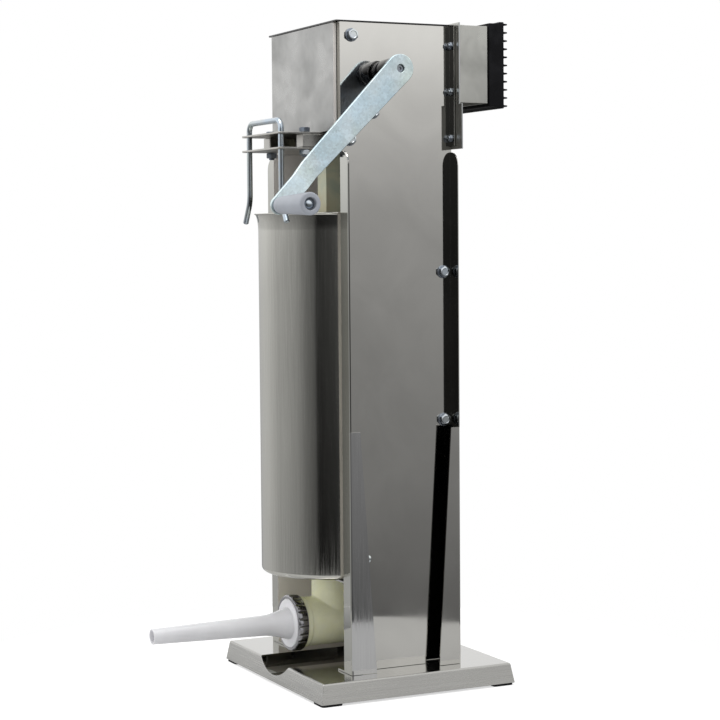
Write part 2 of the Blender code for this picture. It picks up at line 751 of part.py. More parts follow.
def side_panel(side, word):
    rings = []

    def level(z, front=FLANGE, rear=FLANGE, inward=0.0, lips=False, tab=0.0):
        lip_f = lip_depth(FRONT_LIP, z) if lips else 0.0
        lip_r = lip_depth(REAR_LIP, z) if lips else 0.0
        rings.append(panel_ring(side, z, front, rear, inward, lip_f, lip_r, tab))

    level(COLUMN_LOW, lips=True, tab=FOOT_TAB)
    level(COLUMN_LOW + COLUMN_SHEET, lips=True, tab=FOOT_TAB)
    level(COLUMN_LOW + COLUMN_SHEET + STEP, lips=True)
    level(LIP_TOP, lips=True)
    level(LIP_TOP + STEP)
    for x, z in arc(FLANGE - FLANGE_ROUND, FLANGE_TOP - FLANGE_ROUND, FLANGE_ROUND, 0, 90, 6):
        level(z, front=x, rear=x)
    level(FLANGE_TOP + STEP, front=0.0, rear=0.0)
    head = FLANGE_TOP + HEAD_RELIEF
    level(head, front=0.0, rear=0.0)
    level(head + STEP, front=0.0, rear=HEAD_FLANGE_REAR, inward=HEAD_FLANGE_IN)
    level(COLUMN_TOP, front=0.0, rear=HEAD_FLANGE_REAR, inward=HEAD_FLANGE_IN)
    panel = solid(f"side_panel_{word}", loft(rings, True), "polished_steel", smooth=25)
    reach = sorted((side * (PANEL_IN - CUT), side * (PANEL_OUT + CUT)))
    holes = [cylinder(BOLT_HOLE, *reach, "X", place, 12) for place in side_bolt_places().values()]
    holes.append(cylinder(RIVET_RADIUS + HOLE_PLAY, *reach, "X", SHELF_RIVET, 12))
    bush_hole = SHAFT_RADIUS + SHAFT_PLAY + BUSH_WALL + GAP
    holes.append(cylinder(bush_hole, *reach, "X", (CRANK_Y, CRANK_Z), 32))
    stud_x = side * (PANEL_OUT + HEAD_FLANGE_REAR / 2)
    holes += [cylinder(STUD_RADIUS + HOLE_PLAY, COLUMN_REAR - COLUMN_SHEET - CUT, COLUMN_REAR + CUT,
                       "Y", (stud_x, z), 12) for z in STUD_HEIGHTS]
    holes += [cylinder(BOLT_HOLE, COLUMN_LOW - CUT, COLUMN_LOW + COLUMN_SHEET + CUT, "Z",
                       (side * BASE_SCREW_X, y), 12) for y in BASE_SCREW_YS]
    cut(panel, *holes)


def side_bolt_places():
    places = {"lid": LID_BOLT, "lower_plate": LOWER_BOLT, "upper_plate": UPPER_BOLT}
    for z, word in zip(BACK_BOLT_HEIGHTS, ("low", "high")):
        places[f"back_{word}"] = (BACK_BOLT_Y, z)
    return places


def side_bolts():
    for side, word in ((1, "right"), (-1, "left")):
        for name, place in side_bolt_places().items():
            hex_bolt(f"{name}_bolt_{word}", "X", place, side * PANEL_OUT, SIDE_BOLT_LENGTH, side)


def ear_holes(radius, sheet, *places):
    """Cutters through the upright ears that lie against both side panels."""
    reaches = [sorted((side * (INSIDE - sheet - CUT), side * (INSIDE + CUT / 5))) for side in (-1, 1)]
    return [cylinder(radius, *reach, "X", place, 12) for reach in reaches for place in places]


def back_panel():
    """Folded pan that closes the back of the column between the side panels."""
    t = COLUMN_SHEET
    wing = COLUMN_REAR - BACK_WING
    bend = BACK_EDGE
    outline = [(-INSIDE, wing), (-INSIDE + t, wing), (-INSIDE + t, COLUMN_REAR - t),
               (INSIDE - t, COLUMN_REAR - t), (INSIDE - t, wing), (INSIDE, wing),
               (INSIDE, COLUMN_REAR - bend), (INSIDE - bend, COLUMN_REAR),
               (-INSIDE + bend, COLUMN_REAR), (-INSIDE, COLUMN_REAR - bend)]
    low = COLUMN_LOW + COLUMN_SHEET + GAP
    panel = solid("back_panel", prism(outline, low, COLUMN_TOP), "polished_steel")
    cut(panel, *ear_holes(BOLT_HOLE, t, *[(BACK_BOLT_Y, z) for z in BACK_BOLT_HEIGHTS]))


def cylinder_shelf():
    """Slotted shelf that the cylinder stands on, riveted to both side panels."""
    t = SHELF_SHEET
    slot = NECK_RADIUS + 0.001
    outline = [(INSIDE, SHELF_FRONT), (INSIDE, SHELF_REAR), (-INSIDE, SHELF_REAR),
               (-INSIDE, SHELF_FRONT), (-slot, SHELF_FRONT)]
    outline += arc(0.0, 0.0, slot, 180, 0, 20)
    outline += [(slot, SHELF_FRONT)]
    shelf = solid("cylinder_shelf", prism(outline, SEAT_HEIGHT - t, SEAT_HEIGHT), "brushed_steel")
    for side in (-1, 1):
        xs = sorted((side * (INSIDE - t), side * INSIDE))
        ear = prism(rounded_box(SHELF_FRONT + SHELF_EAR_SETBACK, SHELF_REAR - SHELF_EAR_SETBACK,
                                SEAT_HEIGHT - t / 2, SEAT_HEIGHT + SHELF_EAR, SHEET_CORNER, 1), *xs, "YZ")
        lip_xs = sorted((side * slot, side * (INSIDE - SHELF_LIP_PLAY)))
        lip = box(*lip_xs, SHELF_FRONT, SHELF_FRONT + t, SEAT_HEIGHT - SHELF_LIP, SEAT_HEIGHT - t / 2)
        fuse(shelf, ear, lip)
    cut(shelf, *ear_holes(RIVET_RADIUS + HOLE_PLAY, t, SHELF_RIVET))


def shelf_rivets():
    """Rivets with a domed head outside and a flatter one inside."""
    flat = RIVET_HEAD_RADIUS * RIVET_FLAT
    for side, word in ((1, "right"), (-1, "left")):
        head = PANEL_OUT + GAP
        inner = INSIDE - SHELF_SHEET - GAP
        profile = [(0.0, head + RIVET_CROWN), (flat, head + 0.8 * RIVET_CROWN), (RIVET_HEAD_RADIUS, head),
                   (RIVET_RADIUS, head), (RIVET_RADIUS, inner), (RIVET_HEAD_RADIUS, inner),
                   (flat, inner - 0.9 * RIVET_CROWN), (0.0, inner - RIVET_CROWN)]
        profile = [(radius, side * place) for radius, place in profile]
        solid(f"shelf_rivet_{word}", turned(profile, "X", SHELF_RIVET, 12), "zinc_plate")


# Cylinder and outlet

def meat_cylinder():
    """Drawn tube with a rounded bottom edge and a flared rim, open at the top."""
    wall = CYLINDER_WALL
    low, top = CYLINDER_LOW, CYLINDER_TOP
    edge = arc(CYLINDER_RADIUS - CYLINDER_EDGE, low + CYLINDER_EDGE, CYLINDER_EDGE, -90, 0, 3)
    inner_edge = arc(CYLINDER_RADIUS - CYLINDER_EDGE, low + CYLINDER_EDGE, CYLINDER_EDGE - wall,
                     0, -90, 3)
    flare = [(CYLINDER_RADIUS + RIM_FLARE * s ** 2, top - RIM_HEIGHT * (1 - s))
             for s in (0.0, 0.35, 0.7, 1.0)]
    inner_flare = [(r - wall, z) for r, z in reversed(flare)]
    hole = NECK_BORE + SPIGOT_WALL + GAP
    floor = low + CYLINDER_FLOOR
    profile = [(hole, low)] + edge + flare + inner_flare
    profile += [(r, max(z, floor)) for r, z in inner_edge] + [(hole, floor)]
    solid("meat_cylinder", turned(profile, "Z", steps=60), "brushed_steel", smooth=30)


def outlet_body():
    """Moulded elbow from the cylinder's floor to the threaded spout."""
    top = CYLINDER_LOW - GAP
    thread_end = SPOUT_FRONT + THREAD_LENGTH
    outer = [(0.0, SPOUT_FRONT), (THREAD_RADIUS - SPOUT_EDGE, SPOUT_FRONT),
             (THREAD_RADIUS, SPOUT_FRONT + SPOUT_EDGE), (THREAD_RADIUS, thread_end),
             (SPOUT_RADIUS, thread_end + THREAD_RUNOUT)]
    outer += arc(SPOUT_RADIUS - SPOUT_BACK_ROUND, SPOUT_REAR - SPOUT_BACK_ROUND, SPOUT_BACK_ROUND, 0, 90, 3)
    outer += [(0.0, SPOUT_REAR)]
    body = solid("outlet_body", turned(outer, "Y", (0.0, SPOUT_Z), 40), "cream_plastic")
    spigot = NECK_BORE + SPIGOT_WALL
    root = SPOUT_Z + NECK_ROOT
    neck = [(0.0, root), (NECK_RADIUS, root), (NECK_RADIUS, top), (spigot, top),
            (spigot, CYLINDER_LOW + CYLINDER_FLOOR), (0.0, CYLINDER_LOW + CYLINDER_FLOOR)]
    fuse(body, turned(neck, "Z", steps=36))
    bore_end = SPOUT_REAR - SPOUT_BACK_WALL
    cut(body, cylinder(SPOUT_BORE, SPOUT_FRONT - CUT, bore_end, "Y", (0.0, SPOUT_Z), 36))
    cut(body, cylinder(NECK_BORE, SPOUT_Z + NECK_BORE_ROOT, CYLINDER_TOP, "Z", steps=32))


def funnel():
    wall = FUNNEL_WALL
    disc_front = SPOUT_FRONT - GAP - FUNNEL_DISC
    face = disc_front - FUNNEL_STEP
    neck = face - FUNNEL_FLARE_LENGTH
    flare = [(FUNNEL_NECK_RADIUS + (FUNNEL_FLARE_RADIUS - FUNNEL_NECK_RADIUS) * s ** 1.7,
              neck + FUNNEL_FLARE_LENGTH * s) for s in (0.0, 0.3, 0.6, 0.85, 1.0)]
    inner_flare = [(r - wall, y) for r, y in reversed(flare)]
    disc = THREAD_RADIUS
    step = NUT_MOUTH - RUN
    profile = [(FUNNEL_TIP_RADIUS, FUNNEL_TIP)] + flare
    profile += [(step - FUNNEL_EDGE, face), (step, face + FUNNEL_EDGE), (step, disc_front),
                (disc, disc_front)]
    profile += [(disc, SPOUT_FRONT - GAP), (inner_flare[0][0], SPOUT_FRONT - GAP)]
    profile += inner_flare + [(FUNNEL_TIP_RADIUS - wall, FUNNEL_TIP)]
    solid("funnel", turned(profile, "Y", (0.0, SPOUT_Z), 32), "white_plastic",
          (0.0, SPOUT_FRONT, SPOUT_Z))


def ring_nut():
    """Grip ring that clamps the funnel's disc against the spout."""
    outer = []
    for k in range(NUT_GRIPS):
        middle = 360 * k / NUT_GRIPS
        width = 360 / NUT_GRIPS
        for share, radius in ((-0.40, NUT_RADIUS - GRIP_DEPTH), (-0.28, NUT_RADIUS),
                              (0.28, NUT_RADIUS), (0.40, NUT_RADIUS - GRIP_DEPTH)):
            outer += arc(0.0, SPOUT_Z, radius, middle + share * width, 0, 1)[:1]
    front, back = NUT_FRONT, NUT_FRONT + NUT_LENGTH
    bore = THREAD_RADIUS + RUN
    nut = solid("ring_nut", prism(outer, front, back, "XZ"), "dark_steel", (0.0, front, SPOUT_Z))
    cut(nut, cylinder(bore, front + NUT_LIP, back + CUT, "Y", (0.0, SPOUT_Z), 48))
    cut(nut, cylinder(NUT_MOUTH, front - CUT, back, "Y", (0.0, SPOUT_Z), 48))


# Piston and rack

def rack():
    """Square bar with straight-sided teeth along its back."""
    top = RACK_TOP
    quarter = TOOTH_PITCH / 4 - FLANK_GAP / cos(PRESSURE_ANGLE)
    tip_half = quarter - ADDENDUM * tan(PRESSURE_ANGLE)
    root_half = quarter + DEDENDUM * tan(PRESSURE_ANGLE)
    first = RACK_LOW + RACK_PLAIN_END
    outline = [(RACK_FRONT, top), (RACK_FRONT, RACK_LOW), (RACK_BACK_Y, RACK_LOW)]
    count = int((CRANK_Z - first) / TOOTH_PITCH)
    centre = CRANK_Z - (count - 0.5) * TOOTH_PITCH
    while centre + TOOTH_PITCH / 2 < top:
        outline += [(RACK_BACK_Y, centre - root_half), (RACK_TIP_Y, centre - tip_half),
                    (RACK_TIP_Y, centre + tip_half), (RACK_BACK_Y, centre + root_half)]
        centre += TOOTH_PITCH
    outline += [(RACK_BACK_Y, top)]
    half = RACK_WIDTH / 2
    bar = solid("rack", prism(outline, -half, half, "YZ"), "yellow_zinc", (0.0, 0.0, RACK_LOW), 0)
    cut(bar, cylinder(PISTON_BOLT_RADIUS + HOLE_PLAY, RACK_LOW - CUT, RACK_LOW + RACK_BOLT_HOLE,
                      "Z", steps=16))


def piston():
    """Ribbed disc with a grooved rim and a socket for the end of the rack."""
    radius = CYLINDER_BORE - PISTON_PLAY
    low = PISTON_LOW
    top = low + PISTON_RIM
    floor = low + PISTON_PLATE
    groove = radius - SEAL_DEPTH
    seal_low = low + (PISTON_RIM - SEAL_HEIGHT) / 2
    rim_in = groove - PISTON_RIM_WALL
    hub_top = low + PISTON_HUB_HEIGHT
    profile = [(0.0, low), (radius - PISTON_EDGE, low), (radius, low + PISTON_EDGE), (radius, seal_low),
               (groove, seal_low), (groove, seal_low + SEAL_HEIGHT), (radius, seal_low + SEAL_HEIGHT),
               (radius, top), (rim_in, top), (rim_in, floor), (PISTON_HUB, floor), (PISTON_HUB, hub_top),
               (0.0, hub_top)]
    disc = solid("piston", turned(profile, "Z", steps=48), "white_plastic", (0.0, 0.0, low))
    near, far = PISTON_HUB - PISTON_RIB_ROOT, groove - PISTON_RIB_END
    for k in range(PISTON_RIBS):
        angle = 2 * pi * (k + 0.5) / PISTON_RIBS
        along, across = Vector((cos(angle), sin(angle))), Vector((-sin(angle), cos(angle))) * PISTON_RIB / 2
        corners = [along * near - across, along * far - across, along * far + across, along * near + across]
        fuse(disc, prism([tuple(corner) for corner in corners], low + PISTON_PLATE / 2,
                         top - PISTON_RIB_BELOW_RIM))
    half = RACK_WIDTH / 2 + GAP
    cut(disc, box(-half, half, RACK_FRONT - GAP, RACK_BACK_Y + GAP, floor, hub_top + CUT))
    head, head_height = PISTON_BOLT_HEAD
    recess, hole = head + RUN, PISTON_BOLT_RADIUS + HOLE_PLAY
    shoulder = low + head_height + GAP
    cut(disc, turned([(0.0, low - CUT), (recess, low - CUT), (recess, shoulder), (hole, shoulder),
                      (hole, floor + CUT), (0.0, floor + CUT)], "Z", steps=20))
    piston_bolt()
    piston_seal(groove + GAP, seal_low + GAP, seal_low + SEAL_HEIGHT - GAP)


def piston_bolt():
    """Bolt from below, through the piston into the end of the rack."""
    head, head_height = PISTON_BOLT_HEAD
    face = PISTON_LOW + PISTON_BOLT_SINK
    seat = PISTON_LOW + head_height
    end = RACK_LOW + PISTON_BOLT_REACH
    profile = [(0.0, face), (head - PISTON_BOLT_EDGE, face), (head, face + PISTON_BOLT_EDGE), (head, seat),
               (PISTON_BOLT_RADIUS, seat), (PISTON_BOLT_RADIUS, end), (0.0, end)]
    solid("piston_bolt", turned(profile, "Z", steps=20), "zinc_plate", (0.0, 0.0, PISTON_LOW))


def piston_seal(inner, low, high):
    """Double-lipped ring in the piston's groove."""
    lip = CYLINDER_BORE - SEAL_PLAY
    back, rise = SEAL_LIP
    waist = (lip + inner) / 2 + SEAL_WAIST
    profile = [(inner, low), (lip - back, low), (lip, low + rise), (waist, (low + high) / 2),
               (lip, high - rise), (lip - back, high), (inner, high)]
    solid("piston_seal", turned(profile, "Z", steps=48), "black_rubber", (0.0, 0.0, PISTON_LOW))


# Head

def yoke_plate(name, z, ear_span, ear_height, bolt):
    """Plate across the column with a tongue in front that holds the lock pin."""
    tongue = YOKE_WIDTH / 2
    wide_front = COLUMN_FRONT + COLUMN_SHEET + GAP
    corner = YOKE_CORNER
    outline = arc(tongue - corner, YOKE_FRONT + corner, corner, -90, 0, 3)
    outline += [(tongue, wide_front), (INSIDE, wide_front), (INSIDE, PLATE_REAR)]
    outline += [(-x, y) for x, y in reversed(outline)]
    rack_slot = box2(-RACK_WIDTH / 2 - RUN, RACK_WIDTH / 2 + RUN, RACK_FRONT - RUN, RACK_TIP_Y + RUN)
    holes = [rack_slot]
    for side in (-1, 1):
        holes.append(circle(side * PIN_HALF_SPAN, PIN_Y, PIN_RADIUS_HOLE, 12))
        holes.append(circle(side * YOKE_BOLT_X, YOKE_BOLT_Y, BOLT_HOLE, 12))
    plate = solid(name, prism(outline, z, z + YOKE_SHEET, "XY", holes), "brushed_steel")
    for side in (-1, 1):
        xs = sorted((side * (INSIDE - YOKE_SHEET), side * INSIDE))
        ear = prism(rounded_box(bolt[0] - ear_span[0], bolt[0] + ear_span[1], z + YOKE_SHEET / 2,
                                z + ear_height, YOKE_EAR_CORNER, 1), *xs, "YZ")
        fuse(plate, ear)
    cut(plate, *ear_holes(BOLT_HOLE, YOKE_SHEET, bolt))


def yoke():
    lower_ear = SPACER_HEIGHT + YOKE_SHEET + GAP
    yoke_plate("yoke_lower_plate", LOWER_PLATE_Z, LOWER_EAR_SPAN, lower_ear, LOWER_BOLT)
    yoke_plate("yoke_upper_plate", UPPER_PLATE_Z, UPPER_EAR_SPAN, UPPER_EAR, UPPER_BOLT)
    width, depth = SPACER_SIZE
    for side, word in ((1, "right"), (-1, "left")):
        x = side * YOKE_BOLT_X
        outline = rounded_box(x - width / 2, x + width / 2, SPACER_FRONT, SPACER_FRONT + depth,
                              SPACER_ROUND, 2)
        solid(f"yoke_spacer_{word}", prism(outline, SPACER_Z, SPACER_Z + SPACER_HEIGHT, "XY",
                                           [circle(x, YOKE_BOLT_Y, BOLT_HOLE, 12)]), "brushed_steel")
        seat = UPPER_PLATE_Z + YOKE_SHEET
        length = seat - LOWER_PLATE_Z + YOKE_BOLT_BELOW
        hex_bolt(f"yoke_bolt_{word}", "Z", (x, YOKE_BOLT_Y), seat, length, 1, washer=False)
        nut_top = LOWER_PLATE_Z - GAP
        nut = prism(hexagon(x, YOKE_BOLT_Y, BOLT_HEAD_FLATS), nut_top - YOKE_NUT, nut_top, "XY",
                    [circle(x, YOKE_BOLT_Y, BOLT_HOLE, 12)])
        solid(f"yoke_nut_{word}", nut, "zinc_plate", smooth=0)


def head_cover():
    """Shallow pan over the front of the head."""
    half = PANEL_OUT - COVER_INSET
    back = COLUMN_FRONT - GAP
    front = back - COVER_DEPTH
    top = LID_Z - GAP
    outline = rounded_box(-half, half, HEAD_LOW, top, COVER_ROUND, 2)
    cover = solid("head_front_cover", prism(outline, front, back, "XZ"), "brushed_steel")
    t = COVER_SHEET
    cut(cover, box(-half + t, half - t, front + t, back + CUT, HEAD_LOW + t, top - t))


def head_lid():
    front = COLUMN_FRONT - GAP - COVER_DEPTH - LID_OVERHANG
    outline = rounded_box(-PANEL_OUT, PANEL_OUT, front, COLUMN_REAR, LID_ROUND, 2)
    slot = box2(-RACK_WIDTH / 2 - RUN, RACK_WIDTH / 2 + RUN, RACK_FRONT - RUN, RACK_TIP_Y + RUN)
    lid = solid("head_lid", prism(outline, LID_Z, LID_Z + LID_SHEET, "XY", [slot]), "brushed_steel")
    ear_front = COLUMN_FRONT + COLUMN_SHEET + GAP
    for side in (-1, 1):
        xs = sorted((side * (INSIDE - LID_EAR_SHEET), side * INSIDE))
        fuse(lid, box(*xs, ear_front, PLATE_REAR, LID_Z - LID_EAR, LID_Z + LID_SHEET / 2))
    cut(lid, *ear_holes(BOLT_HOLE, LID_EAR_SHEET, LID_BOLT))


def guide_bracket():
    """Channel across the head, behind the front cover, that backs the rack guide."""
    t = BRACKET_SHEET
    outside = INSIDE - LID_EAR_SHEET - GAP
    front, back = GUIDE_BRACKET_FRONT, GUIDE_BRACKET_FRONT + GUIDE_BRACKET_DEPTH
    outline = [(-outside, front), (outside, front), (outside, back), (outside - t, back),
               (outside - t, front + t), (-outside + t, front + t), (-outside + t, back), (-outside, back)]
    low = HEAD_LOW + GUIDE_BRACKET_LOW
    top = LID_Z - GUIDE_BRACKET_BELOW_LID
    bracket = solid("guide_bracket", prism(outline, low, top), "brushed_steel")
    cut(bracket, *ear_holes(BOLT_HOLE, LID_EAR_SHEET + GAP + t, LID_BOLT))
    inner = RACK_WIDTH / 2 + RUN
    outer = inner + GUIDE_CHEEK
    guide_front = front + t + GAP
    bearing = RACK_FRONT - RUN
    shoe = [(-outer, guide_front), (outer, guide_front), (outer, 0.0), (inner, 0.0), (inner, bearing),
            (-inner, bearing), (-inner, 0.0), (-outer, 0.0)]
    z0, z1 = CRANK_Z - GUIDE_HEIGHT / 2, CRANK_Z + GUIDE_HEIGHT / 2
    solid("rack_guide", prism(shoe, z0, z1), "white_plastic")


# Crank

def involute_outline():
    """Closed outline of the pinion, one tooth pointing at the rack."""
    base = PITCH_RADIUS * cos(PRESSURE_ANGLE)
    tip = PITCH_RADIUS + ADDENDUM
    root = PITCH_RADIUS - DEDENDUM
    at_pitch = pi / (2 * PINION_TEETH) - FLANK_GAP / base
    pitch_inv = tan(PRESSURE_ANGLE) - PRESSURE_ANGLE

    def half_angle(radius):
        turn = acos(min(1.0, base / radius))
        return at_pitch + pitch_inv - (tan(turn) - turn)

    radii = [base + (tip - base) * s for s in (0.0, 0.35, 0.7, 1.0)]
    flank = [(root, half_angle(base))] + [(r, half_angle(r)) for r in radii]
    points = []
    for k in range(PINION_TEETH):
        middle = pi + 2 * pi * k / PINION_TEETH
        for radius, turn in flank:
            points.append((radius, middle - turn))
        for radius, turn in reversed(flank):
            points.append((radius, middle + turn))
    return [(CRANK_Y + r * cos(a), CRANK_Z + r * sin(a)) for r, a in points]


def pinion_and_shaft():
    axis = (CRANK_Y, CRANK_Z)
    origin = (0.0, *axis)
    half = RACK_WIDTH / 2 + PINION_OVERHANG
    hub_end = half + PINION_HUB
    gear = solid("pinion", prism(involute_outline(), -half, half, "YZ"), "dark_steel", origin, 20)
    fuse(gear, cylinder(PINION_HUB_RADIUS, half - CUT, hub_end, "X", axis, 24))
    cut(gear, cylinder(SHAFT_RADIUS + GAP, -half - CUT, hub_end + CUT, "X", axis, 24))
    pin_place = (half + PINION_HUB / 2, CRANK_Y)
    pin_ends = (CRANK_Z - 2 * PINION_HUB_RADIUS, CRANK_Z + 2 * PINION_HUB_RADIUS)
    cut(gear, cylinder(PINION_PIN + HOLE_PLAY, *pin_ends, "Z", pin_place, 16))
    far = -(HUB_START + COLLAR_THICK + SHAFT_STUB)
    hub = HUB_START + CRANK_NECK
    end = ARM_IN - GAP
    screw_hole = CRANK_SCREW_RADIUS + HOLE_PLAY
    hole_end = end - CRANK_SCREW_HOLE
    profile = [(0.0, far), (SHAFT_RADIUS - SHAFT_EDGE, far), (SHAFT_RADIUS, far + SHAFT_EDGE),
               (SHAFT_RADIUS, HUB_START), (CRANK_NECK_RADIUS, HUB_START), (CRANK_NECK_RADIUS, hub),
               (CRANK_HUB_RADIUS - HUB_EDGE, hub), (CRANK_HUB_RADIUS, hub + HUB_EDGE),
               (CRANK_HUB_RADIUS, end - HUB_EDGE),
               (CRANK_HUB_RADIUS - HUB_EDGE, end), (screw_hole, end), (screw_hole, hole_end), (0.0, hole_end)]
    shaft = solid("crank_shaft", turned(profile, "X", axis, 32), "dark_steel", origin)
    cut(shaft, cylinder(PINION_PIN + HOLE_PLAY, *pin_ends, "Z", pin_place, 16))
    length = PINION_HUB_RADIUS - PINION_PIN_SINK
    pin = cylinder(PINION_PIN, CRANK_Z - length, CRANK_Z + length, "Z", pin_place, 16)
    solid("pinion_pin", pin, "dark_steel", origin)
    bushes_and_collar(axis, origin)


def bushes_and_collar(axis, origin):
    """Flanged bush in each side panel, and the collar that keeps the shaft in place."""
    inner = SHAFT_RADIUS + SHAFT_PLAY
    outer = inner + BUSH_WALL
    seat = PANEL_OUT + GAP
    face = seat + BUSH_FLANGE_THICK
    for side, word in ((1, "right"), (-1, "left")):
        sleeve = [(inner, PANEL_IN - BUSH_REACH), (outer, PANEL_IN - BUSH_REACH), (outer, seat),
                  (BUSH_FLANGE, seat), (BUSH_FLANGE, face), (inner, face)]
        sleeve = [(radius, side * place) for radius, place in sleeve]
        solid(f"shaft_bush_{word}", turned(sleeve, "X", axis, 32), "dark_steel")
    bore = SHAFT_RADIUS + GAP
    near, far = -HUB_START, -HUB_START - COLLAR_THICK
    collar = [(bore, near), (COLLAR_RADIUS, near), (COLLAR_RADIUS, far), (bore, far)]
    solid("shaft_collar", turned(collar, "X", axis, 24), "dark_steel", origin)


def arm_offset(along):
    """How far the arm is set outwards at a distance from the crank axis."""
    start = ARM_LENGTH - JOGGLE_START
    share = (along - start) / JOGGLE_LENGTH
    return ARM_JOGGLE * min(1.0, max(0.0, share))


def arm_half_width(along):
    """Half width of the bar; its two long edges are tangents of both end rounds."""
    lean = (ARM_HUB_ROUND - ARM_GRIP_ROUND) / ARM_LENGTH
    start, end = ARM_HUB_ROUND * lean, ARM_LENGTH + ARM_GRIP_ROUND * lean
    if along < start:
        return sqrt(max(0.0, ARM_HUB_ROUND ** 2 - along ** 2))
    if along > end:
        return sqrt(max(0.0, ARM_GRIP_ROUND ** 2 - (along - ARM_LENGTH) ** 2))
    slope = lean / sqrt(1 - lean ** 2)
    return sqrt(ARM_HUB_ROUND ** 2 - start ** 2) - slope * (along - start)


def crank_arm():
    direction = Vector((0.0, *ARM_REACH)).normalized()
    across = Vector((0.0, -direction.z, direction.y))
    start = ARM_LENGTH - JOGGLE_START
    stations = [-ARM_HUB_ROUND * cos(radians(a)) for a in (4, 15, 30, 45, 60, 75, 89)]
    stations += [start, start + JOGGLE_LENGTH]
    stations += [ARM_LENGTH + ARM_GRIP_ROUND * sin(radians(a)) for a in (4, 15, 30, 45, 60, 75, 86)]
    rings = []
    for along in stations:
        half = arm_half_width(along)
        near = ARM_IN + arm_offset(along)
        centre = Vector((0.0, CRANK_Y, CRANK_Z)) + direction * along
        corners = ((near, -half), (near, half), (near + ARM_THICK, half), (near + ARM_THICK, -half))
        rings.append([centre + across * v + Vector((x, 0.0, 0.0)) for x, v in corners])
    arm = solid("crank_arm", loft(rings), "zinc_plate", (0.0, CRANK_Y, CRANK_Z), 30)
    head, head_height = CRANK_SCREW_HEAD
    outer = ARM_IN + ARM_THICK
    cut(arm, cylinder(head + HOLE_PLAY, ARM_IN - CUT, outer + CUT, "X", (CRANK_Y, CRANK_Z), 20),
        cylinder(BOLT_HOLE, ARM_IN, outer + ARM_JOGGLE + CUT, "X", (GRIP_Y, GRIP_Z), 16))
    crank_screw(head, head_height)


def crank_screw(head, head_height):
    """Socket screw that holds the arm on the hub, its head in the arm's hole."""
    seat = ARM_IN - GAP / 2
    tail = seat - CRANK_SCREW_LENGTH
    top = seat + head_height
    profile = [(0.0, tail), (CRANK_SCREW_RADIUS, tail), (CRANK_SCREW_RADIUS, seat),
               (head, seat + GAP / 2), (head, top), (0.0, top)]
    screw = solid("crank_screw", turned(profile, "X", (CRANK_Y, CRANK_Z), 20), "zinc_plate",
                  (0.0, CRANK_Y, CRANK_Z))
    flats, depth = CRANK_SCREW_SOCKET
    cut(screw, prism(hexagon(CRANK_Y, CRANK_Z, flats), top - depth, top + CUT, "YZ"))


def grip():
    axis = (GRIP_Y, GRIP_Z)
    origin = (0.0, *axis)
    start, end = GRIP_START, GRIP_END
    small, large = GRIP_SMALL_RADIUS, GRIP_LARGE_RADIUS
    sink = end - GRIP_SINK_DEPTH
    profile = [(GRIP_BORE, start), (small - GRIP_SMALL_EDGE, start), (small, start + GRIP_SMALL_EDGE)]
    profile += arc(large - GRIP_EDGE, end - GRIP_EDGE, GRIP_EDGE, 0, 90, 3)
    profile += [(GRIP_SINK_RADIUS, end), (GRIP_SINK_RADIUS, sink), (GRIP_BORE, sink)]
    solid("handle_grip", turned(profile, "X", axis, 28), "grey_plastic", origin)
    seat = sink + GAP
    tail = ARM_IN + ARM_JOGGLE - HANDLE_BOLT_TAIL
    rim = seat + HANDLE_BOLT_RIM
    crown = rim + HANDLE_BOLT_CROWN
    bolt = [(0.0, tail), (BOLT_RADIUS, tail), (BOLT_RADIUS, seat), (HANDLE_BOLT_HEAD, seat),
            (HANDLE_BOLT_HEAD, rim), (HANDLE_BOLT_HEAD - HANDLE_BOLT_EDGE, crown),
            (0.0, crown + HANDLE_BOLT_DOME)]
    solid("handle_bolt", turned(bolt, "X", axis, 20), "zinc_plate", origin)
    nut_top = ARM_IN + ARM_JOGGLE - GAP
    nut = prism(hexagon(*axis, BOLT_HEAD_FLATS), nut_top - HANDLE_NUT, nut_top, "YZ",
                [circle(*axis, BOLT_HOLE, 16)])
    solid("handle_nut", nut, "zinc_plate", origin, 0)


# Lock pin

def lock_pin():
    """U of round rod whose legs drop through both yoke plates, toes kicked outwards."""
    half, top = PIN_HALF_SPAN, PIN_TOP
    knee = Vector((half, LOWER_PLATE_Z - PIN_STRAIGHT))
    toe = knee + Vector((PIN_KICK[0], -PIN_KICK[1]))
    lean = (toe - knee).normalized()
    right = arc(half - PIN_BEND, top - PIN_BEND, PIN_BEND, 90, 0, 6)
    for s in (0.0, 0.33, 0.67, 1.0):
        right.append(tuple(knee + Vector((0.0, PIN_KNEE * (1 - s) ** 2)) + lean * (PIN_KNEE * s * s)))
    right.append(tuple(toe))
    route = [(-x, z) for x, z in reversed(right)] + right
    solid("lock_pin", rod(route, PIN_Y, PIN_ROD), "zinc_plate", (0.0, PIN_Y, top))


# Rear bracket

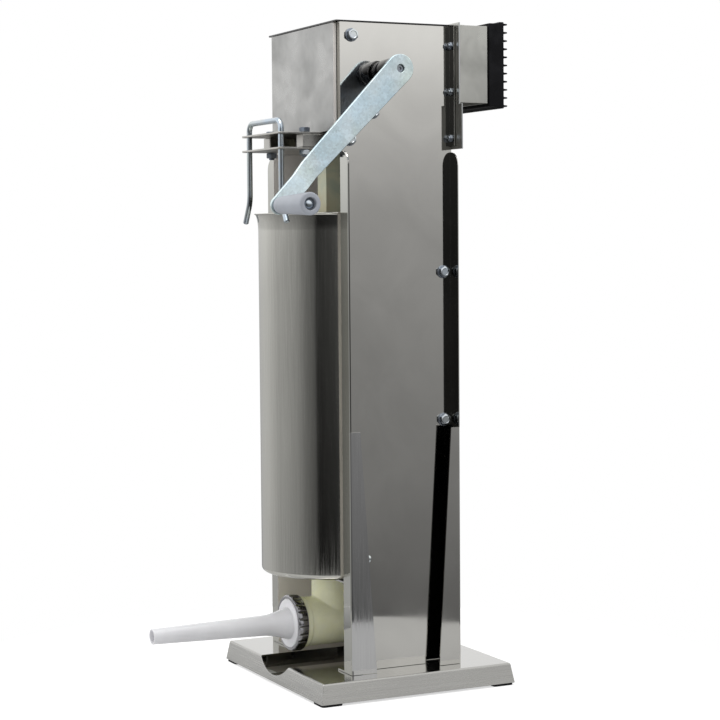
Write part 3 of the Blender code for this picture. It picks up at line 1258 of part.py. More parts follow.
def rear_bracket():
    """Plate on the back of the head with the channel that carries the foot."""
    t = BRACKET_SHEET
    y = BRACKET_Y
    wide, narrow = PANEL_OUT + BRACKET_LOW_EAR, PANEL_OUT + BRACKET_HIGH_EAR
    step = BRACKET_LOW + BRACKET_STEP_HEIGHT
    outline = [(-wide, BRACKET_LOW), (wide, BRACKET_LOW), (wide, step), (narrow, step),
               (narrow, BRACKET_TOP), (-narrow, BRACKET_TOP), (-narrow, step), (-wide, step)]
    bracket = solid("rear_bracket", prism(outline, y, y + t, "XZ"), "polished_steel", smooth=20)
    half = CHANNEL_HALF
    jog0, jog1 = [y + depth for depth in CHANNEL_JOG_SPAN]
    in_half = half - CHANNEL_JOG
    edge = CHANNEL_EDGE
    outer = [(half, y + t / 2), (half, jog0), (in_half, jog1), (in_half, CHANNEL_END - edge),
             (in_half - edge, CHANNEL_END)]
    inner = [(in_half - t, CHANNEL_END - t), (in_half - t, jog1), (half - t, jog0), (half - t, y + t / 2)]
    channel = outer + [(-x, py) for x, py in reversed(outer)]
    channel += [(-x, py) for x, py in reversed(inner)] + inner
    fuse(bracket, prism(channel, CHANNEL_LOW, BRACKET_TOP - CHANNEL_SETBACK))
    x = PANEL_OUT + HEAD_FLANGE_REAR / 2
    places = [(side * x, z) for side in (-1, 1) for z in STUD_HEIGHTS]
    seat = COLUMN_REAR - COLUMN_SHEET - GAP
    operate(bracket, [cylinder(STUD_RADIUS, seat - STUD_NUT - STUD_TAIL, y + t / 3, "Y", place, 12)
                      for place in places], "UNION")
    operate(bracket, [prism(hexagon(*place, STUD_NUT_FLATS), seat - STUD_NUT, seat, "XZ")
                      for place in places], "UNION")


def rear_foot_pad():
    """Rubber block with cross ribs that the machine lies on."""
    half = CHANNEL_HALF + PAD_SIDE_OVERLAP
    low = CHANNEL_LOW - PAD_OVERLAP
    high = BRACKET_TOP + PAD_OVERLAP - CHANNEL_SETBACK
    face = PAD_START + PAD_DEPTH
    width, height = PAD_RIB
    bulge_start, bulge_full, bulge = PAD_BULGE
    count = int((high - low) / PAD_RIB_PITCH) + 1
    span = (count - 1) * PAD_RIB_PITCH
    first = (low + high - span) / 2
    outline = [(PAD_START, high), (PAD_START, low), (face - bulge_start, low),
               (face - bulge_full, low - bulge), (face, low - bulge)]
    for k in range(count):
        z = first + k * PAD_RIB_PITCH
        outline += [(face, z - width / 2), (face + height, z - width * 0.35),
                    (face + height, z + width * 0.35), (face, z + width / 2)]
    outline += [(face, high + bulge), (face - bulge_full, high + bulge), (face - bulge_start, high)]
    solid("rear_foot_pad", prism(outline, -half, half, "YZ"), "black_rubber", smooth=20)


def main():
    clear_scene()
    machine = bpy.data.objects.new("machine", None)
    bpy.context.scene.collection.objects.link(machine)
    machine.location = SHIFT
    base_tray()
    base_feet()
    base_screws()
    side_panel(1, "right")
    side_panel(-1, "left")
    side_bolts()
    back_panel()
    cylinder_shelf()
    shelf_rivets()
    meat_cylinder()
    outlet_body()
    funnel()
    ring_nut()
    rack()
    piston()
    yoke()
    head_cover()
    head_lid()
    guide_bracket()
    pinion_and_shaft()
    crank_arm()
    grip()
    lock_pin()
    rear_bracket()
    rear_foot_pad()


main()
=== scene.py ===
"""Looks for the vertical sausage stuffer: studio, camera, materials and finely made pieces.

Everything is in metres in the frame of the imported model, -Y being the funnel's side and
+X the crank's side.
"""
import json
from math import cos, pi, radians, sin, sqrt

import bmesh
import bpy
from mathutils import Matrix, Vector


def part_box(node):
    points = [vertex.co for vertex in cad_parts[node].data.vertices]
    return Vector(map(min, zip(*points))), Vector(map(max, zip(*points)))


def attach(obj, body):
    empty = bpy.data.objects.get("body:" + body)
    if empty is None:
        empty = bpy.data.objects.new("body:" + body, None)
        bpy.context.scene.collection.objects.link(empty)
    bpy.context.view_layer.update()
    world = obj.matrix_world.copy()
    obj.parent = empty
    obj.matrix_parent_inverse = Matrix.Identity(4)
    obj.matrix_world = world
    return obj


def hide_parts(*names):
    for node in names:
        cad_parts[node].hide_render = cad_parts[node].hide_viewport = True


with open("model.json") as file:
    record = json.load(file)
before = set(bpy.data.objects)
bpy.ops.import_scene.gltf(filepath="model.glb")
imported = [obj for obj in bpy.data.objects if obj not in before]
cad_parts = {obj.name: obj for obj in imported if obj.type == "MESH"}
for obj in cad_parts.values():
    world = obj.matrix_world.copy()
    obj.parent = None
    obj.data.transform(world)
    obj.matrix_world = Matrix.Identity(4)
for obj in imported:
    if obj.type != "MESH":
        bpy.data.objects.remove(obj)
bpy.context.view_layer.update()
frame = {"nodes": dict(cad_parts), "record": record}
NODES = frame["nodes"]

# The photograph's camera
CAMERA_FROM_CYLINDER = (1.75627, -0.82589, 0.43617)   # from the foot of the cylinder's axis
CAMERA_AZIMUTH = 63.949
CAMERA_ELEVATION = 3.431
CAMERA_ROLL = -0.4506
CAMERA_LENS = 97.13
SENSOR = 36.0


def middle(node):
    """Centre of a node's box."""
    low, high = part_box(node)
    return (low + high) / 2


CYLINDER_AXIS = Vector((middle("meat_cylinder").x, middle("meat_cylinder").y, 0.0))
SPOUT_AXIS = Vector((middle("ring_nut").x, 0.0, middle("ring_nut").z))
CRANK_AXIS = Vector((0.0, middle("shaft_bush_right").y, middle("shaft_bush_right").z))
GRIP_AXIS = Vector((0.0, middle("handle_grip").y, middle("handle_grip").z))


# Sizes that the boxes of the nodes don't give
RIM_FLARE = 0.004
RIM_HEIGHT = 0.017
TUBE_WALL = 0.001
TUBE_FLOOR = 0.0012
THREAD_RADIUS = 0.0255
THREAD_LENGTH = 0.012
RIB_DEPTH = 0.0007
BOLT_HEAD = 0.0040
BOLT_FLATS = 0.0098
BOLT_RADIUS = 0.0029
WASHER = 0.0012
WASHER_RADIUS = 0.0064
HEAD_COLLAR = 0.0005
SHAFT_RADIUS = 0.007
FLANGE_ROOT = 0.0805
FLANGE_SEEN = 0.0004
HEAD_FOOT = 0.530
LIP_FACE = 0.0935
LIP_MIDDLE = 0.035
LIP_TOP = 0.2562
SHELF_PLATE = 0.0020
TROUGH_EDGE = 0.0008
TROUGH_HALF = 0.040
EAR_REACH = 0.014
EAR_DEPTH = 0.003
NECK_RADIUS = 0.0083
NECK_LENGTH = 0.0065
HUB_RADIUS = 0.0113
BUSH_WALL = 0.0014
BUSH_FLANGE = 0.0100
PIN_ROD = 0.0028
PIN_HALF_SPAN = 0.039
PIN_BEND = 0.0085
PIN_DROP = 0.0768
PIN_KICK = (0.012, 0.0215)
PIN_KNEE = 0.007
PIN_CHAMFER = 0.0006
THREAD_PITCH = 0.002
FLOOR_RADIUS = 0.43

# Hexagons: where the corners start to fall, as a share of the width across flats, and their slope
FLAT_SHARE = 0.48
COLLAR_SHARE = 0.46
CORNER_FALL = 0.58

# Rules for choosing faces and edges; angles in degrees
FACING = 0.9           # least part of a normal that counts as facing a way
SKIN_DEPTH = 0.001     # what still counts as a panel's outermost face
SHARP_ANGLE = 35.0
ROUND_ANGLE = 40.0
HEX_ANGLE = 32.0
FLAT_ANGLE = 0.6
WELD = 2e-6
PANEL_WELD = 0.00015   # the folded panels' corners have slivers this wide

PLANE = {"X": (1, 2, 0), "Y": (0, 2, 1), "Z": (0, 1, 2)}


# Materials

class Look:
    """A node material being drawn up: one Principled shader and what feeds it."""

    def __init__(self, name, colour, roughness, metallic=0.0, **sockets):
        self.material = bpy.data.materials.new(name)
        self.material.use_nodes = True
        self.tree = self.material.node_tree
        self.shader = self.tree.nodes["Principled BSDF"]
        self.shader.inputs["Base Color"].default_value = (*colour, 1.0)
        self.shader.inputs["Roughness"].default_value = roughness
        self.shader.inputs["Metallic"].default_value = metallic
        for socket, value in sockets.items():
            self.shader.inputs[socket.replace("_", " ")].default_value = value
        self.material.diffuse_color = (*colour, 1.0)
        self.place = self.add("ShaderNodeTexCoord").outputs["Object"]
        self.relief = None

    def add(self, kind, **settings):
        node = self.tree.nodes.new(kind)
        for name, value in settings.items():
            setattr(node, name, value)
        return node

    def join(self, source, target):
        self.tree.links.new(source, target)

    def stretched(self, factors):
        """Object position scaled by three factors, which draws a texture out along an axis."""
        mapping = self.add("ShaderNodeMapping")
        mapping.inputs["Scale"].default_value = factors
        self.join(self.place, mapping.inputs["Vector"])
        return mapping.outputs["Vector"]

    def noise(self, scale, detail=3.0, stretch=(1.0, 1.0, 1.0), distortion=0.0):
        node = self.add("ShaderNodeTexNoise")
        node.inputs["Scale"].default_value = scale
        node.inputs["Detail"].default_value = detail
        node.inputs["Distortion"].default_value = distortion
        self.join(self.stretched(stretch), node.inputs["Vector"])
        return node.outputs["Fac"]

    def cells(self, scale, stretch=(1.0, 1.0, 1.0)):
        node = self.add("ShaderNodeTexVoronoi")
        node.inputs["Scale"].default_value = scale
        self.join(self.stretched(stretch), node.inputs["Vector"])
        return node.outputs["Color"]

    def ranged(self, value, low, high, start=0.3, end=0.7):
        node = self.add("ShaderNodeMapRange")
        for name, number in (("From Min", start), ("From Max", end), ("To Min", low), ("To Max", high)):
            node.inputs[name].default_value = number
        self.join(value, node.inputs["Value"])
        return node.outputs["Result"]

    def maths(self, operation, first, second):
        node = self.add("ShaderNodeMath", operation=operation)
        for socket, value in zip(node.inputs, (first, second)):
            if isinstance(value, float):
                socket.default_value = value
            else:
                self.join(value, socket)
        return node.outputs["Value"]

    def ramp(self, value, *stops):
        """Colours along a value; each stop is a position and a colour."""
        node = self.add("ShaderNodeValToRGB")
        elements = node.color_ramp.elements
        while len(elements) < len(stops):
            elements.new(0.5)
        for element, (position, colour) in zip(elements, stops):
            element.position = position
            element.color = (*colour, 1.0)
        self.join(value, node.inputs["Fac"])
        return node.outputs["Color"]

    def blend(self, share, first, second, mode="MIX"):
        node = self.add("ShaderNodeMix", data_type="RGBA", blend_type=mode)
        for socket, value in ((node.inputs[0], share), (node.inputs[6], first), (node.inputs[7], second)):
            if isinstance(value, float):
                socket.default_value = value
            elif isinstance(value, tuple):
                socket.default_value = (*value, 1.0)
            else:
                self.join(value, socket)
        return node.outputs[2]

    def bump(self, height, strength, distance):
        """Adds a layer of relief on those already there."""
        node = self.add("ShaderNodeBump")
        node.inputs["Strength"].default_value = strength
        node.inputs["Distance"].default_value = distance
        self.join(height, node.inputs["Height"])
        if self.relief:
            self.join(self.relief, node.inputs["Normal"])
        self.relief = node.outputs["Normal"]

    def done(self, colour=None, roughness=None):
        if colour:
            self.join(colour, self.shader.inputs["Base Color"])
        if roughness:
            self.join(roughness, self.shader.inputs["Roughness"])
        if self.relief:
            self.join(self.relief, self.shader.inputs["Normal"])
        return self.material


def scaled(tint, share):
    return tuple(share * value for value in tint)


def mirror_steel(name, tint=(0.63, 0.62, 0.59)):
    """Polished stainless sheet: finger marks, polishing lines and a slight waviness."""
    look = Look(name, tint, 0.05, 1.0)
    marks = look.noise(14.0, detail=6.0, distortion=0.6)
    lines = look.noise(60.0, detail=4.0, stretch=(1.0, 1.0, 0.03))
    colour = look.ramp(marks, (0.30, scaled(tint, 0.90)), (0.62, tint))
    smudge = look.ranged(marks, 0.035, 0.085, 0.45, 0.75)
    rough = look.maths("ADD", smudge, look.ranged(lines, 0.0, 0.03))
    look.bump(look.noise(5.0, detail=1.0), 0.05, 0.004)
    look.bump(lines, 0.02, 0.0003)
    return look.done(colour, rough)


def satin_steel(name, tint=(0.90, 0.86, 0.82), metallic=0.12):
    """The inner side of the polished sheet: dull, with a soft grey bloom."""
    look = Look(name, tint, 0.5, metallic)
    bloom = look.noise(20.0, detail=4.0, distortion=0.5)
    lines = look.noise(70.0, detail=4.0, stretch=(1.0, 1.0, 0.05))
    colour = look.ramp(bloom, (0.32, scaled(tint, 0.90)), (0.65, tint))
    look.bump(lines, 0.05, 0.0003)
    return look.done(colour, look.ranged(lines, 0.40, 0.55))


def brushed_steel(name, tint, roughness, grain, strength=0.10):
    """Brushed stainless: fine lines whose run is set by the stretch of the grain."""
    look = Look(name, tint, roughness, 1.0)
    fine = look.noise(900.0, detail=3.0, stretch=grain)
    broad = look.noise(9.0, detail=4.0, distortion=0.4)
    lines = look.ramp(fine, (0.25, scaled(tint, 0.86)), (0.75, tint))
    colour = look.blend(look.ranged(broad, 0.0, 0.5), lines, tint)
    rough = look.maths("ADD", look.ranged(fine, roughness - 0.05, roughness + 0.05),
                       look.ranged(broad, -0.02, 0.04))
    look.bump(fine, strength, 0.0002)
    return look.done(colour, rough)


def smudged_steel(name, tint):
    """Rubbed sheet: cloudy finger marks on short grain that runs both ways."""
    look = Look(name, tint, 0.34, 1.0)
    cloud = look.noise(20.0, detail=6.0, distortion=0.4)
    spots = look.noise(75.0, detail=5.0, distortion=0.6)
    grain = look.noise(700.0, detail=3.0, stretch=(1.0, 1.0, 0.06))
    across = look.noise(700.0, detail=3.0, stretch=(0.06, 1.0, 1.0))
    worn = look.ramp(cloud, (0.34, scaled(tint, 0.82)), (0.60, tint))
    colour = look.blend(look.ranged(spots, 0.0, 0.35, 0.52, 0.72), worn, scaled(tint, 0.80))
    look.bump(grain, 0.06, 0.0002)
    look.bump(across, 0.05, 0.0002)
    rough = look.maths("ADD", look.ranged(cloud, 0.40, 0.26, 0.34, 0.62), look.ranged(spots, -0.03, 0.05))
    return look.done(colour, rough)


def zinc_plate(name, tint, roughness, flake=420.0, contrast=0.10, mottle=60.0, patches=0.0):
    """Bright zinc: faint spangle in cells, with a blue and a yellow cast here and there."""
    look = Look(name, tint, roughness, 1.0)
    cells = look.cells(flake)
    fine = look.noise(1500.0, detail=2.0)
    broad = look.noise(mottle, detail=4.0, distortion=0.5)
    light = tuple(min(1.0, value) for value in scaled(tint, 1 + contrast))
    spangle = look.ramp(cells, (0.1, scaled(tint, 1 - contrast)), (0.9, light))
    cast = look.ramp(broad, (0.35, (0.94, 1.0, 1.05)), (0.5, (1.0, 1.0, 1.0)), (0.68, (1.03, 1.03, 0.95)))
    colour = look.blend(1.0, spangle, cast, "MULTIPLY")
    if patches:
        darkest = (1 - patches, 1 - 0.9 * patches, 1 - patches)
        wear = look.noise(38.0, detail=6.0, distortion=0.8)
        worn = look.ramp(wear, (0.34, darkest), (0.62, (1.0, 1.0, 1.0)))
        colour = look.blend(1.0, colour, worn, "MULTIPLY")
    rough = look.maths("ADD", look.ranged(cells, roughness - 0.05, roughness + 0.05, 0.0, 1.0),
                       look.ranged(fine, -0.04, 0.04))
    look.bump(cells, contrast, 0.0002)
    look.bump(fine, 0.10, 0.0001)
    return look.done(colour, rough)


def yellow_zinc(name):
    """Passivated zinc: olive and gold in broad clouds."""
    look = Look(name, (0.62, 0.62, 0.44), 0.42, 0.25)
    broad = look.noise(30.0, detail=4.0, distortion=1.0)
    fine = look.noise(1200.0, detail=2.0)
    colour = look.ramp(broad, (0.30, (0.50, 0.56, 0.44)), (0.5, (0.64, 0.65, 0.48)),
                       (0.72, (0.62, 0.56, 0.36)))
    look.bump(fine, 0.15, 0.0001)
    return look.done(colour, look.ranged(fine, 0.36, 0.50))


def dark_steel(name, tint=(0.075, 0.075, 0.080), roughness=0.11):
    """Blackened and oiled steel that still shines; near black, it also serves as painted shade."""
    look = Look(name, tint, roughness, 1.0, Coat_Weight=0.5, Coat_Roughness=0.08)
    turned = look.noise(700.0, detail=2.0, stretch=(1.0, 0.05, 0.05))
    broad = look.noise(40.0, detail=3.0)
    colour = look.ramp(broad, (0.35, tint), (0.75, scaled(tint, 1.9)))
    look.bump(turned, 0.08, 0.0002)
    return look.done(colour, look.ranged(turned, roughness - 0.05, roughness + 0.06))


def moulded_plastic(name, tint, roughness, translucent=0.0, radius=(0.01, 0.01, 0.01), shade=0.90):
    """Moulded plastic with flow marks, a fine tooling grain and handling dust."""
    look = Look(name, tint, roughness)
    if translucent:
        look.shader.inputs["Subsurface Weight"].default_value = translucent
        look.shader.inputs["Subsurface Radius"].default_value = radius
        look.shader.inputs["Subsurface Scale"].default_value = 1.0
    flow = look.noise(28.0, detail=5.0, distortion=0.8)
    fine = look.noise(2200.0, detail=2.0)
    look.bump(fine, 0.08, 0.0002)
    return look.done(look.ramp(flow, (0.32, scaled(tint, shade)), (0.62, tint)),
                     look.maths("ADD", look.ranged(fine, roughness - 0.05, roughness + 0.05),
                                look.ranged(flow, -0.03, 0.05)))


def black_rubber(name):
    """Matt rubber with a fine grain and a little dust."""
    look = Look(name, (0.006, 0.006, 0.007), 0.62, Specular_IOR_Level=0.12)
    fine = look.noise(1600.0, detail=3.0)
    dust = look.noise(60.0, detail=5.0)
    look.bump(fine, 0.25, 0.0003)
    colour = look.ramp(dust, (0.45, (0.005, 0.005, 0.006)), (0.80, (0.014, 0.014, 0.016)))
    return look.done(colour, look.ranged(fine, 0.50, 0.72))


UP = (1.0, 1.0, 0.02)          # grain that runs along Z
ACROSS = (0.02, 1.0, 1.0)      # grain that runs along X
LEVEL = (0.02, 0.02, 1.0)      # grain that runs along X and Y

MIRROR = mirror_steel("mirror_steel")
# Painted shade: a darker copy of the mirror steel for the front flanges below the head.
FLANGE_SHADE = mirror_steel("flange_painted_shade", (0.47, 0.47, 0.44))
# Painted shade: a dark copy of the mirror steel for the trough and the rear flanges.
SHADED = mirror_steel("shaded_steel", (0.22, 0.22, 0.21))
# Painted shade: a darker copy of the mirror steel for the rear bracket's ears.
EAR_SHADE = mirror_steel("ear_painted_shade", (0.40, 0.41, 0.41))
SATIN = satin_steel("satin_steel")

DECK = brushed_steel("deck_steel", (0.48, 0.475, 0.455), roughness=0.12, grain=ACROSS, strength=0.03)
TRAY = brushed_steel("tray_steel", (0.46, 0.455, 0.435), roughness=0.26, grain=LEVEL, strength=0.03)
# Painted light: a lighter copy of the tray steel for the tray's front wall.
TRAY_FRONT_LIGHT = brushed_steel("tray_front_painted_light", (0.58, 0.575, 0.555), roughness=0.24, grain=LEVEL,
                           strength=0.03)
PLATE = brushed_steel("plate_steel", (0.52, 0.51, 0.48), roughness=0.30, grain=ACROSS)
TUBE = brushed_steel("tube_steel", (0.64, 0.635, 0.59), roughness=0.09, grain=UP, strength=0.012)
LIP = brushed_steel("lip_steel", (0.60, 0.60, 0.60), roughness=0.08, grain=UP, strength=0.01)
COVER = smudged_steel("cover_steel", (0.44, 0.44, 0.43))
BRACKET = smudged_steel("bracket_steel", (0.50, 0.50, 0.47))

ZINC = zinc_plate("zinc", (0.60, 0.64, 0.68), roughness=0.13, flake=900.0, contrast=0.04)
ZINC_ARM = zinc_plate("zinc_arm", (0.74, 0.85, 0.90), roughness=0.40, flake=520.0, contrast=0.11,
                      mottle=24.0, patches=0.16)
CHROME = zinc_plate("chrome", (0.52, 0.57, 0.62), roughness=0.14, flake=900.0, contrast=0.02)
# Darker zinc for the yoke bolts, and as painted shade on the crank arm's back, the bolts' washers and
# shanks, the left yoke nut, the crank screw's end and the rear studs.
DARK_ZINC_AND_SHADE = zinc_plate("dark_zinc_and_painted_shade", (0.30, 0.33, 0.38), roughness=0.35)
RACK = yellow_zinc("yellow_zinc")
DARK = dark_steel("dark_steel")
NUT_CHROME = dark_steel("nut_chrome", (0.20, 0.20, 0.21), roughness=0.10)
# Near black as painted shade: the lips' inner faces, the lid's edges and the crank screw.
BLACK_SHADE = dark_steel("black_painted_shade", (0.012, 0.012, 0.013), roughness=0.30)

CREAM = moulded_plastic("cream_plastic", (0.99, 0.99, 0.66), roughness=0.24, translucent=0.45,
                        radius=(0.014, 0.013, 0.006))
WHITE = moulded_plastic("white_plastic", (0.83, 0.83, 0.86), roughness=0.22, translucent=0.25,
                        radius=(0.01, 0.01, 0.011), shade=0.95)
GREY = moulded_plastic("grey_plastic", (0.36, 0.385, 0.43), roughness=0.40, shade=0.88)
RUBBER = black_rubber("black_rubber")

BODIES = frame["record"]["behaviour"]["bodies"]
BODY_OF = {node: body for body, members in BODIES.items() for node in members}


# Making pieces

def mesh_object(name, shape, material, smooth):
    """An object from a bmesh, which it uses up; edges above an angle stay sharp."""
    mesh = bpy.data.meshes.new(name)
    shape.to_mesh(mesh)
    shape.free()
    mesh.shade_smooth()
    mesh.set_sharp_from_angle(angle=radians(smooth))
    thing = bpy.data.objects.new(name, mesh)
    bpy.context.scene.collection.objects.link(thing)
    mesh.materials.append(material)
    return thing


def piece(name, shape, material, *nodes, smooth=SHARP_ANGLE):
    """A finished piece from a bmesh; it rides with, and stands for, the nodes named."""
    thing = mesh_object(name, shape, material, smooth)
    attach(thing, BODY_OF[nodes[0]])
    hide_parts(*nodes)
    return thing


def trim(name, shape, material, body):
    """A small extra piece that stands for no node."""
    thing = mesh_object(name, shape, material, SHARP_ANGLE)
    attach(thing, body)


def weigh(thing):
    """Keeps flat faces flat-shaded beside their rounded edges."""
    step = thing.modifiers.new("even_normals", "WEIGHTED_NORMAL")
    step.keep_sharp = True
    step.weight = 80


def second_finish(thing, material, chosen):
    """Gives the faces that a rule picks another material."""
    thing.data.materials.append(material)
    for face in thing.data.polygons:
        if chosen(face):
            face.material_index = len(thing.data.materials) - 1


def clean_copy(node, weld=WELD):
    """The node's solid with its triangles joined up into whole faces."""
    shape = bmesh.new()
    shape.from_mesh(NODES[node].data)
    bmesh.ops.remove_doubles(shape, verts=shape.verts[:], dist=weld)
    bmesh.ops.dissolve_limit(shape, angle_limit=radians(FLAT_ANGLE), verts=shape.verts[:],
                             edges=shape.edges[:])
    return shape


def dressed(node, material, width=0.0003, segments=2, edge_angle=28.0, weld=WELD, choose=None,
            choose_width=0.0):
    """The node's own solid with rounded edges; chosen edges can have a larger round."""
    shape = clean_copy(node, weld)
    if choose:
        edges = [edge for edge in shape.edges if choose(edge)]
        bmesh.ops.bevel(shape, geom=edges, offset=choose_width, segments=4, profile=0.5, affect="EDGES",
                        clamp_overlap=True)
    thing = piece(f"{node}_finished", shape, material, node, smooth=edge_angle + 12.0)
    step = thing.modifiers.new("round_edges", "BEVEL")
    step.width = width
    step.segments = segments
    step.limit_method = "ANGLE"
    step.angle_limit = radians(edge_angle)
    step.use_clamp_overlap = weld > WELD
    weigh(thing)
    return thing


def revolve(profile, axis, centre, steps=96):
    """Closed profile of (radius, place along the axis) turned about an axis."""
    shape = bmesh.new()
    first, second, third = PLANE[axis]
    rings = []
    for radius, along in profile:
        ring = []
        for k in range(steps if radius > 0 else 1):
            angle = 2 * pi * k / steps
            point = [0.0, 0.0, 0.0]
            point[first] = centre[first] + radius * cos(angle)
            point[second] = centre[second] + radius * sin(angle)
            point[third] = along
            ring.append(shape.verts.new(point))
        rings.append(ring)
    for before, after in looped(rings):
        for k in range(steps):
            corners = [before[k % len(before)], before[(k + 1) % len(before)],
                       after[(k + 1) % len(after)], after[k % len(after)]]
            unique = [corner for i, corner in enumerate(corners) if corner is not corners[i - 1]]
            if len(unique) > 2:
                shape.faces.new(unique)
    bmesh.ops.recalc_face_normals(shape, faces=shape.faces[:])
    return shape


def bend(x, y, radius, start, end, steps):
    """Points of a rounded corner, angles in degrees."""
    angles = [radians(start + (end - start) * i / steps) for i in range(steps + 1)]
    return [(x + radius * cos(angle), y + radius * sin(angle)) for angle in angles]


def pulled(start, corner, end, s):
    """Point at share s of the way from start to end on the curve that a corner pulls out."""
    return start * (1 - s) ** 2 + corner * (2 * s * (1 - s)) + end * s * s


def looped(rings):
    """Each ring with the one before it, and the first with the last."""
    return zip(rings[-1:] + rings[:-1], rings)


def bridge(shape, pairs):
    """Faces between pairs of rings of as many points each."""
    for before, after in pairs:
        count = len(before)
        for k in range(count):
            shape.faces.new([before[k], before[(k + 1) % count], after[(k + 1) % count], after[k]])


def rounded(profile, radius, steps=3):
    """The closed profile with each corner rounded off, sharp ones on the axis excepted."""
    points = []
    for i, corner in enumerate(profile):
        here = Vector(corner)
        before, after = Vector(profile[i - 1]), Vector(profile[(i + 1) % len(profile)])
        back, on = before - here, after - here
        reach = min(radius, 0.45 * back.length, 0.45 * on.length)
        if corner[0] == 0.0 or reach < 1e-6:
            points.append(corner)
            continue
        start, end = here + back.normalized() * reach, here + on.normalized() * reach
        points += [tuple(pulled(start, here, end, k / steps)) for k in range(steps + 1)]
    return points


def joined(*shapes):
    """The shapes as one bmesh; each one is used up."""
    whole = bmesh.new()
    for shape in shapes:
        holder = bpy.data.meshes.new("holder")
        shape.to_mesh(holder)
        shape.free()
        whole.from_mesh(holder)
        bpy.data.meshes.remove(holder)
    return whole


def hex_ring(shape, axis, centre, start, outward, flats, rule, steps=48):
    """Ring of points round a hexagon; a rule gives radius and height from the side's distance."""
    first, second, third = PLANE[axis]
    verts = []
    for k in range(steps):
        angle = 2 * pi * k / steps
        sector = (angle + pi / 6) % (pi / 3) - pi / 6
        radius, along = rule(flats / 2 / cos(sector))
        point = [0.0, 0.0, 0.0]
        point[first] = centre[first] + radius * cos(angle)
        point[second] = centre[second] + radius * sin(angle)
        point[third] = start + outward * along
        verts.append(shape.verts.new(point))
    return verts


def hex_head(axis, centre, start, height, flats, outward):
    """Hexagon head whose top corners are turned off at thirty degrees, slightly dished."""
    shape = bmesh.new()
    flat_radius = FLAT_SHARE * flats
    dish = 0.0003
    rules = (lambda side: (side, 0.0),
             lambda side: (side, height - CORNER_FALL * (side - flat_radius)),
             lambda side: (flat_radius, height),
             lambda side: (0.74 * flat_radius, height),
             lambda side: (0.66 * flat_radius, height - dish))
    rings = [hex_ring(shape, axis, centre, start, outward, flats, rule) for rule in rules]
    bridge(shape, zip(rings, rings[1:]))
    shape.faces.new(rings[0])
    shape.faces.new(rings[-1])
    bmesh.ops.recalc_face_normals(shape, faces=shape.faces[:])
    return shape


def shank(axis, centre, start, end, radius, pitch=0.001, depth=0.0003):
    """Bolt shank with rings of thread."""
    step = 1 if end > start else -1
    profile = [(0.0, start), (radius - depth, start)]
    along = start + step * pitch * 0.4
    while (end - along) * step > pitch:
        profile += [(radius, along), (radius - depth, along + step * pitch * 0.5)]
        along += step * pitch
    profile += [(radius, end), (0.0, end)]
    return revolve(profile, axis, centre, 24)


def hex_bolt(node, axis, outward, material=ZINC, washer=True):
    """Bolt, and the washer under its head, over the node's simple one."""
    third = PLANE[axis][2]
    low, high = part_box(node)
    tip, tail = (high[third], low[third]) if outward > 0 else (low[third], high[third])
    centre = middle(node)
    seat = tip - outward * BOLT_HEAD
    under = seat - outward * (WASHER if washer else HEAD_COLLAR)
    wide = WASHER_RADIUS if washer else COLLAR_SHARE * BOLT_FLATS
    disc = rounded([(0.0, under), (wide, under), (wide, seat), (0.0, seat)], 0.0003)
    shape = joined(hex_head(axis, centre, seat, BOLT_HEAD, BOLT_FLATS, outward),
                   revolve(disc, axis, centre, 48),
                   shank(axis, centre, tail, under, BOLT_RADIUS))
    thing = piece(f"{node}_finished", shape, material, node, smooth=HEX_ANGLE)
    # Painted shade: the washer and shank under the head in darker zinc.
    if material is ZINC:
        second_finish(thing, DARK_ZINC_AND_SHADE, lambda face: (face.center[third] - seat) * outward < 1e-5)


# The pieces, from the floor up

def build_base():
    """Tray, with painted shade in its trough, painted light on its front wall and smooth on its deck,
    with its pads and screws.
    """
    tray_low, tray_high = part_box("base_tray")
    deck = tray_high.z - TROUGH_EDGE
    reach = 0.005

    def outer_corner(edge):
        return all(abs(vert.co.z - tray_high.z) < 1e-4 and
                   min(abs(vert.co.x - tray_low.x), abs(vert.co.x - tray_high.x),
                       abs(vert.co.y - tray_low.y), abs(vert.co.y - tray_high.y)) < reach
                   for vert in edge.verts)

    def in_trough(face):
        return (face.normal.z > 0.05 and tray_low.z < face.center.z < deck
                and abs(face.center.x - CYLINDER_AXIS.x) < TROUGH_HALF)

    tray = dressed("base_tray", TRAY, choose=outer_corner, choose_width=0.0016)
    # Painted shade: the trough in the shaded copy of the mirror steel.
    second_finish(tray, SHADED, in_trough)
    # Painted light on the tray's front wall.
    second_finish(tray, TRAY_FRONT_LIGHT, lambda face: face.normal.y < -0.8)
    second_finish(tray, DECK, lambda face: face.normal.z > FACING and face.center.z > deck)
    for end in ("front", "rear"):
        for side in ("left", "right"):
            dressed(f"base_foot_{end}_{side}", RUBBER, width=0.0004)
            hex_bolt(f"base_screw_{end}_{side}", "Z", -1, washer=False)


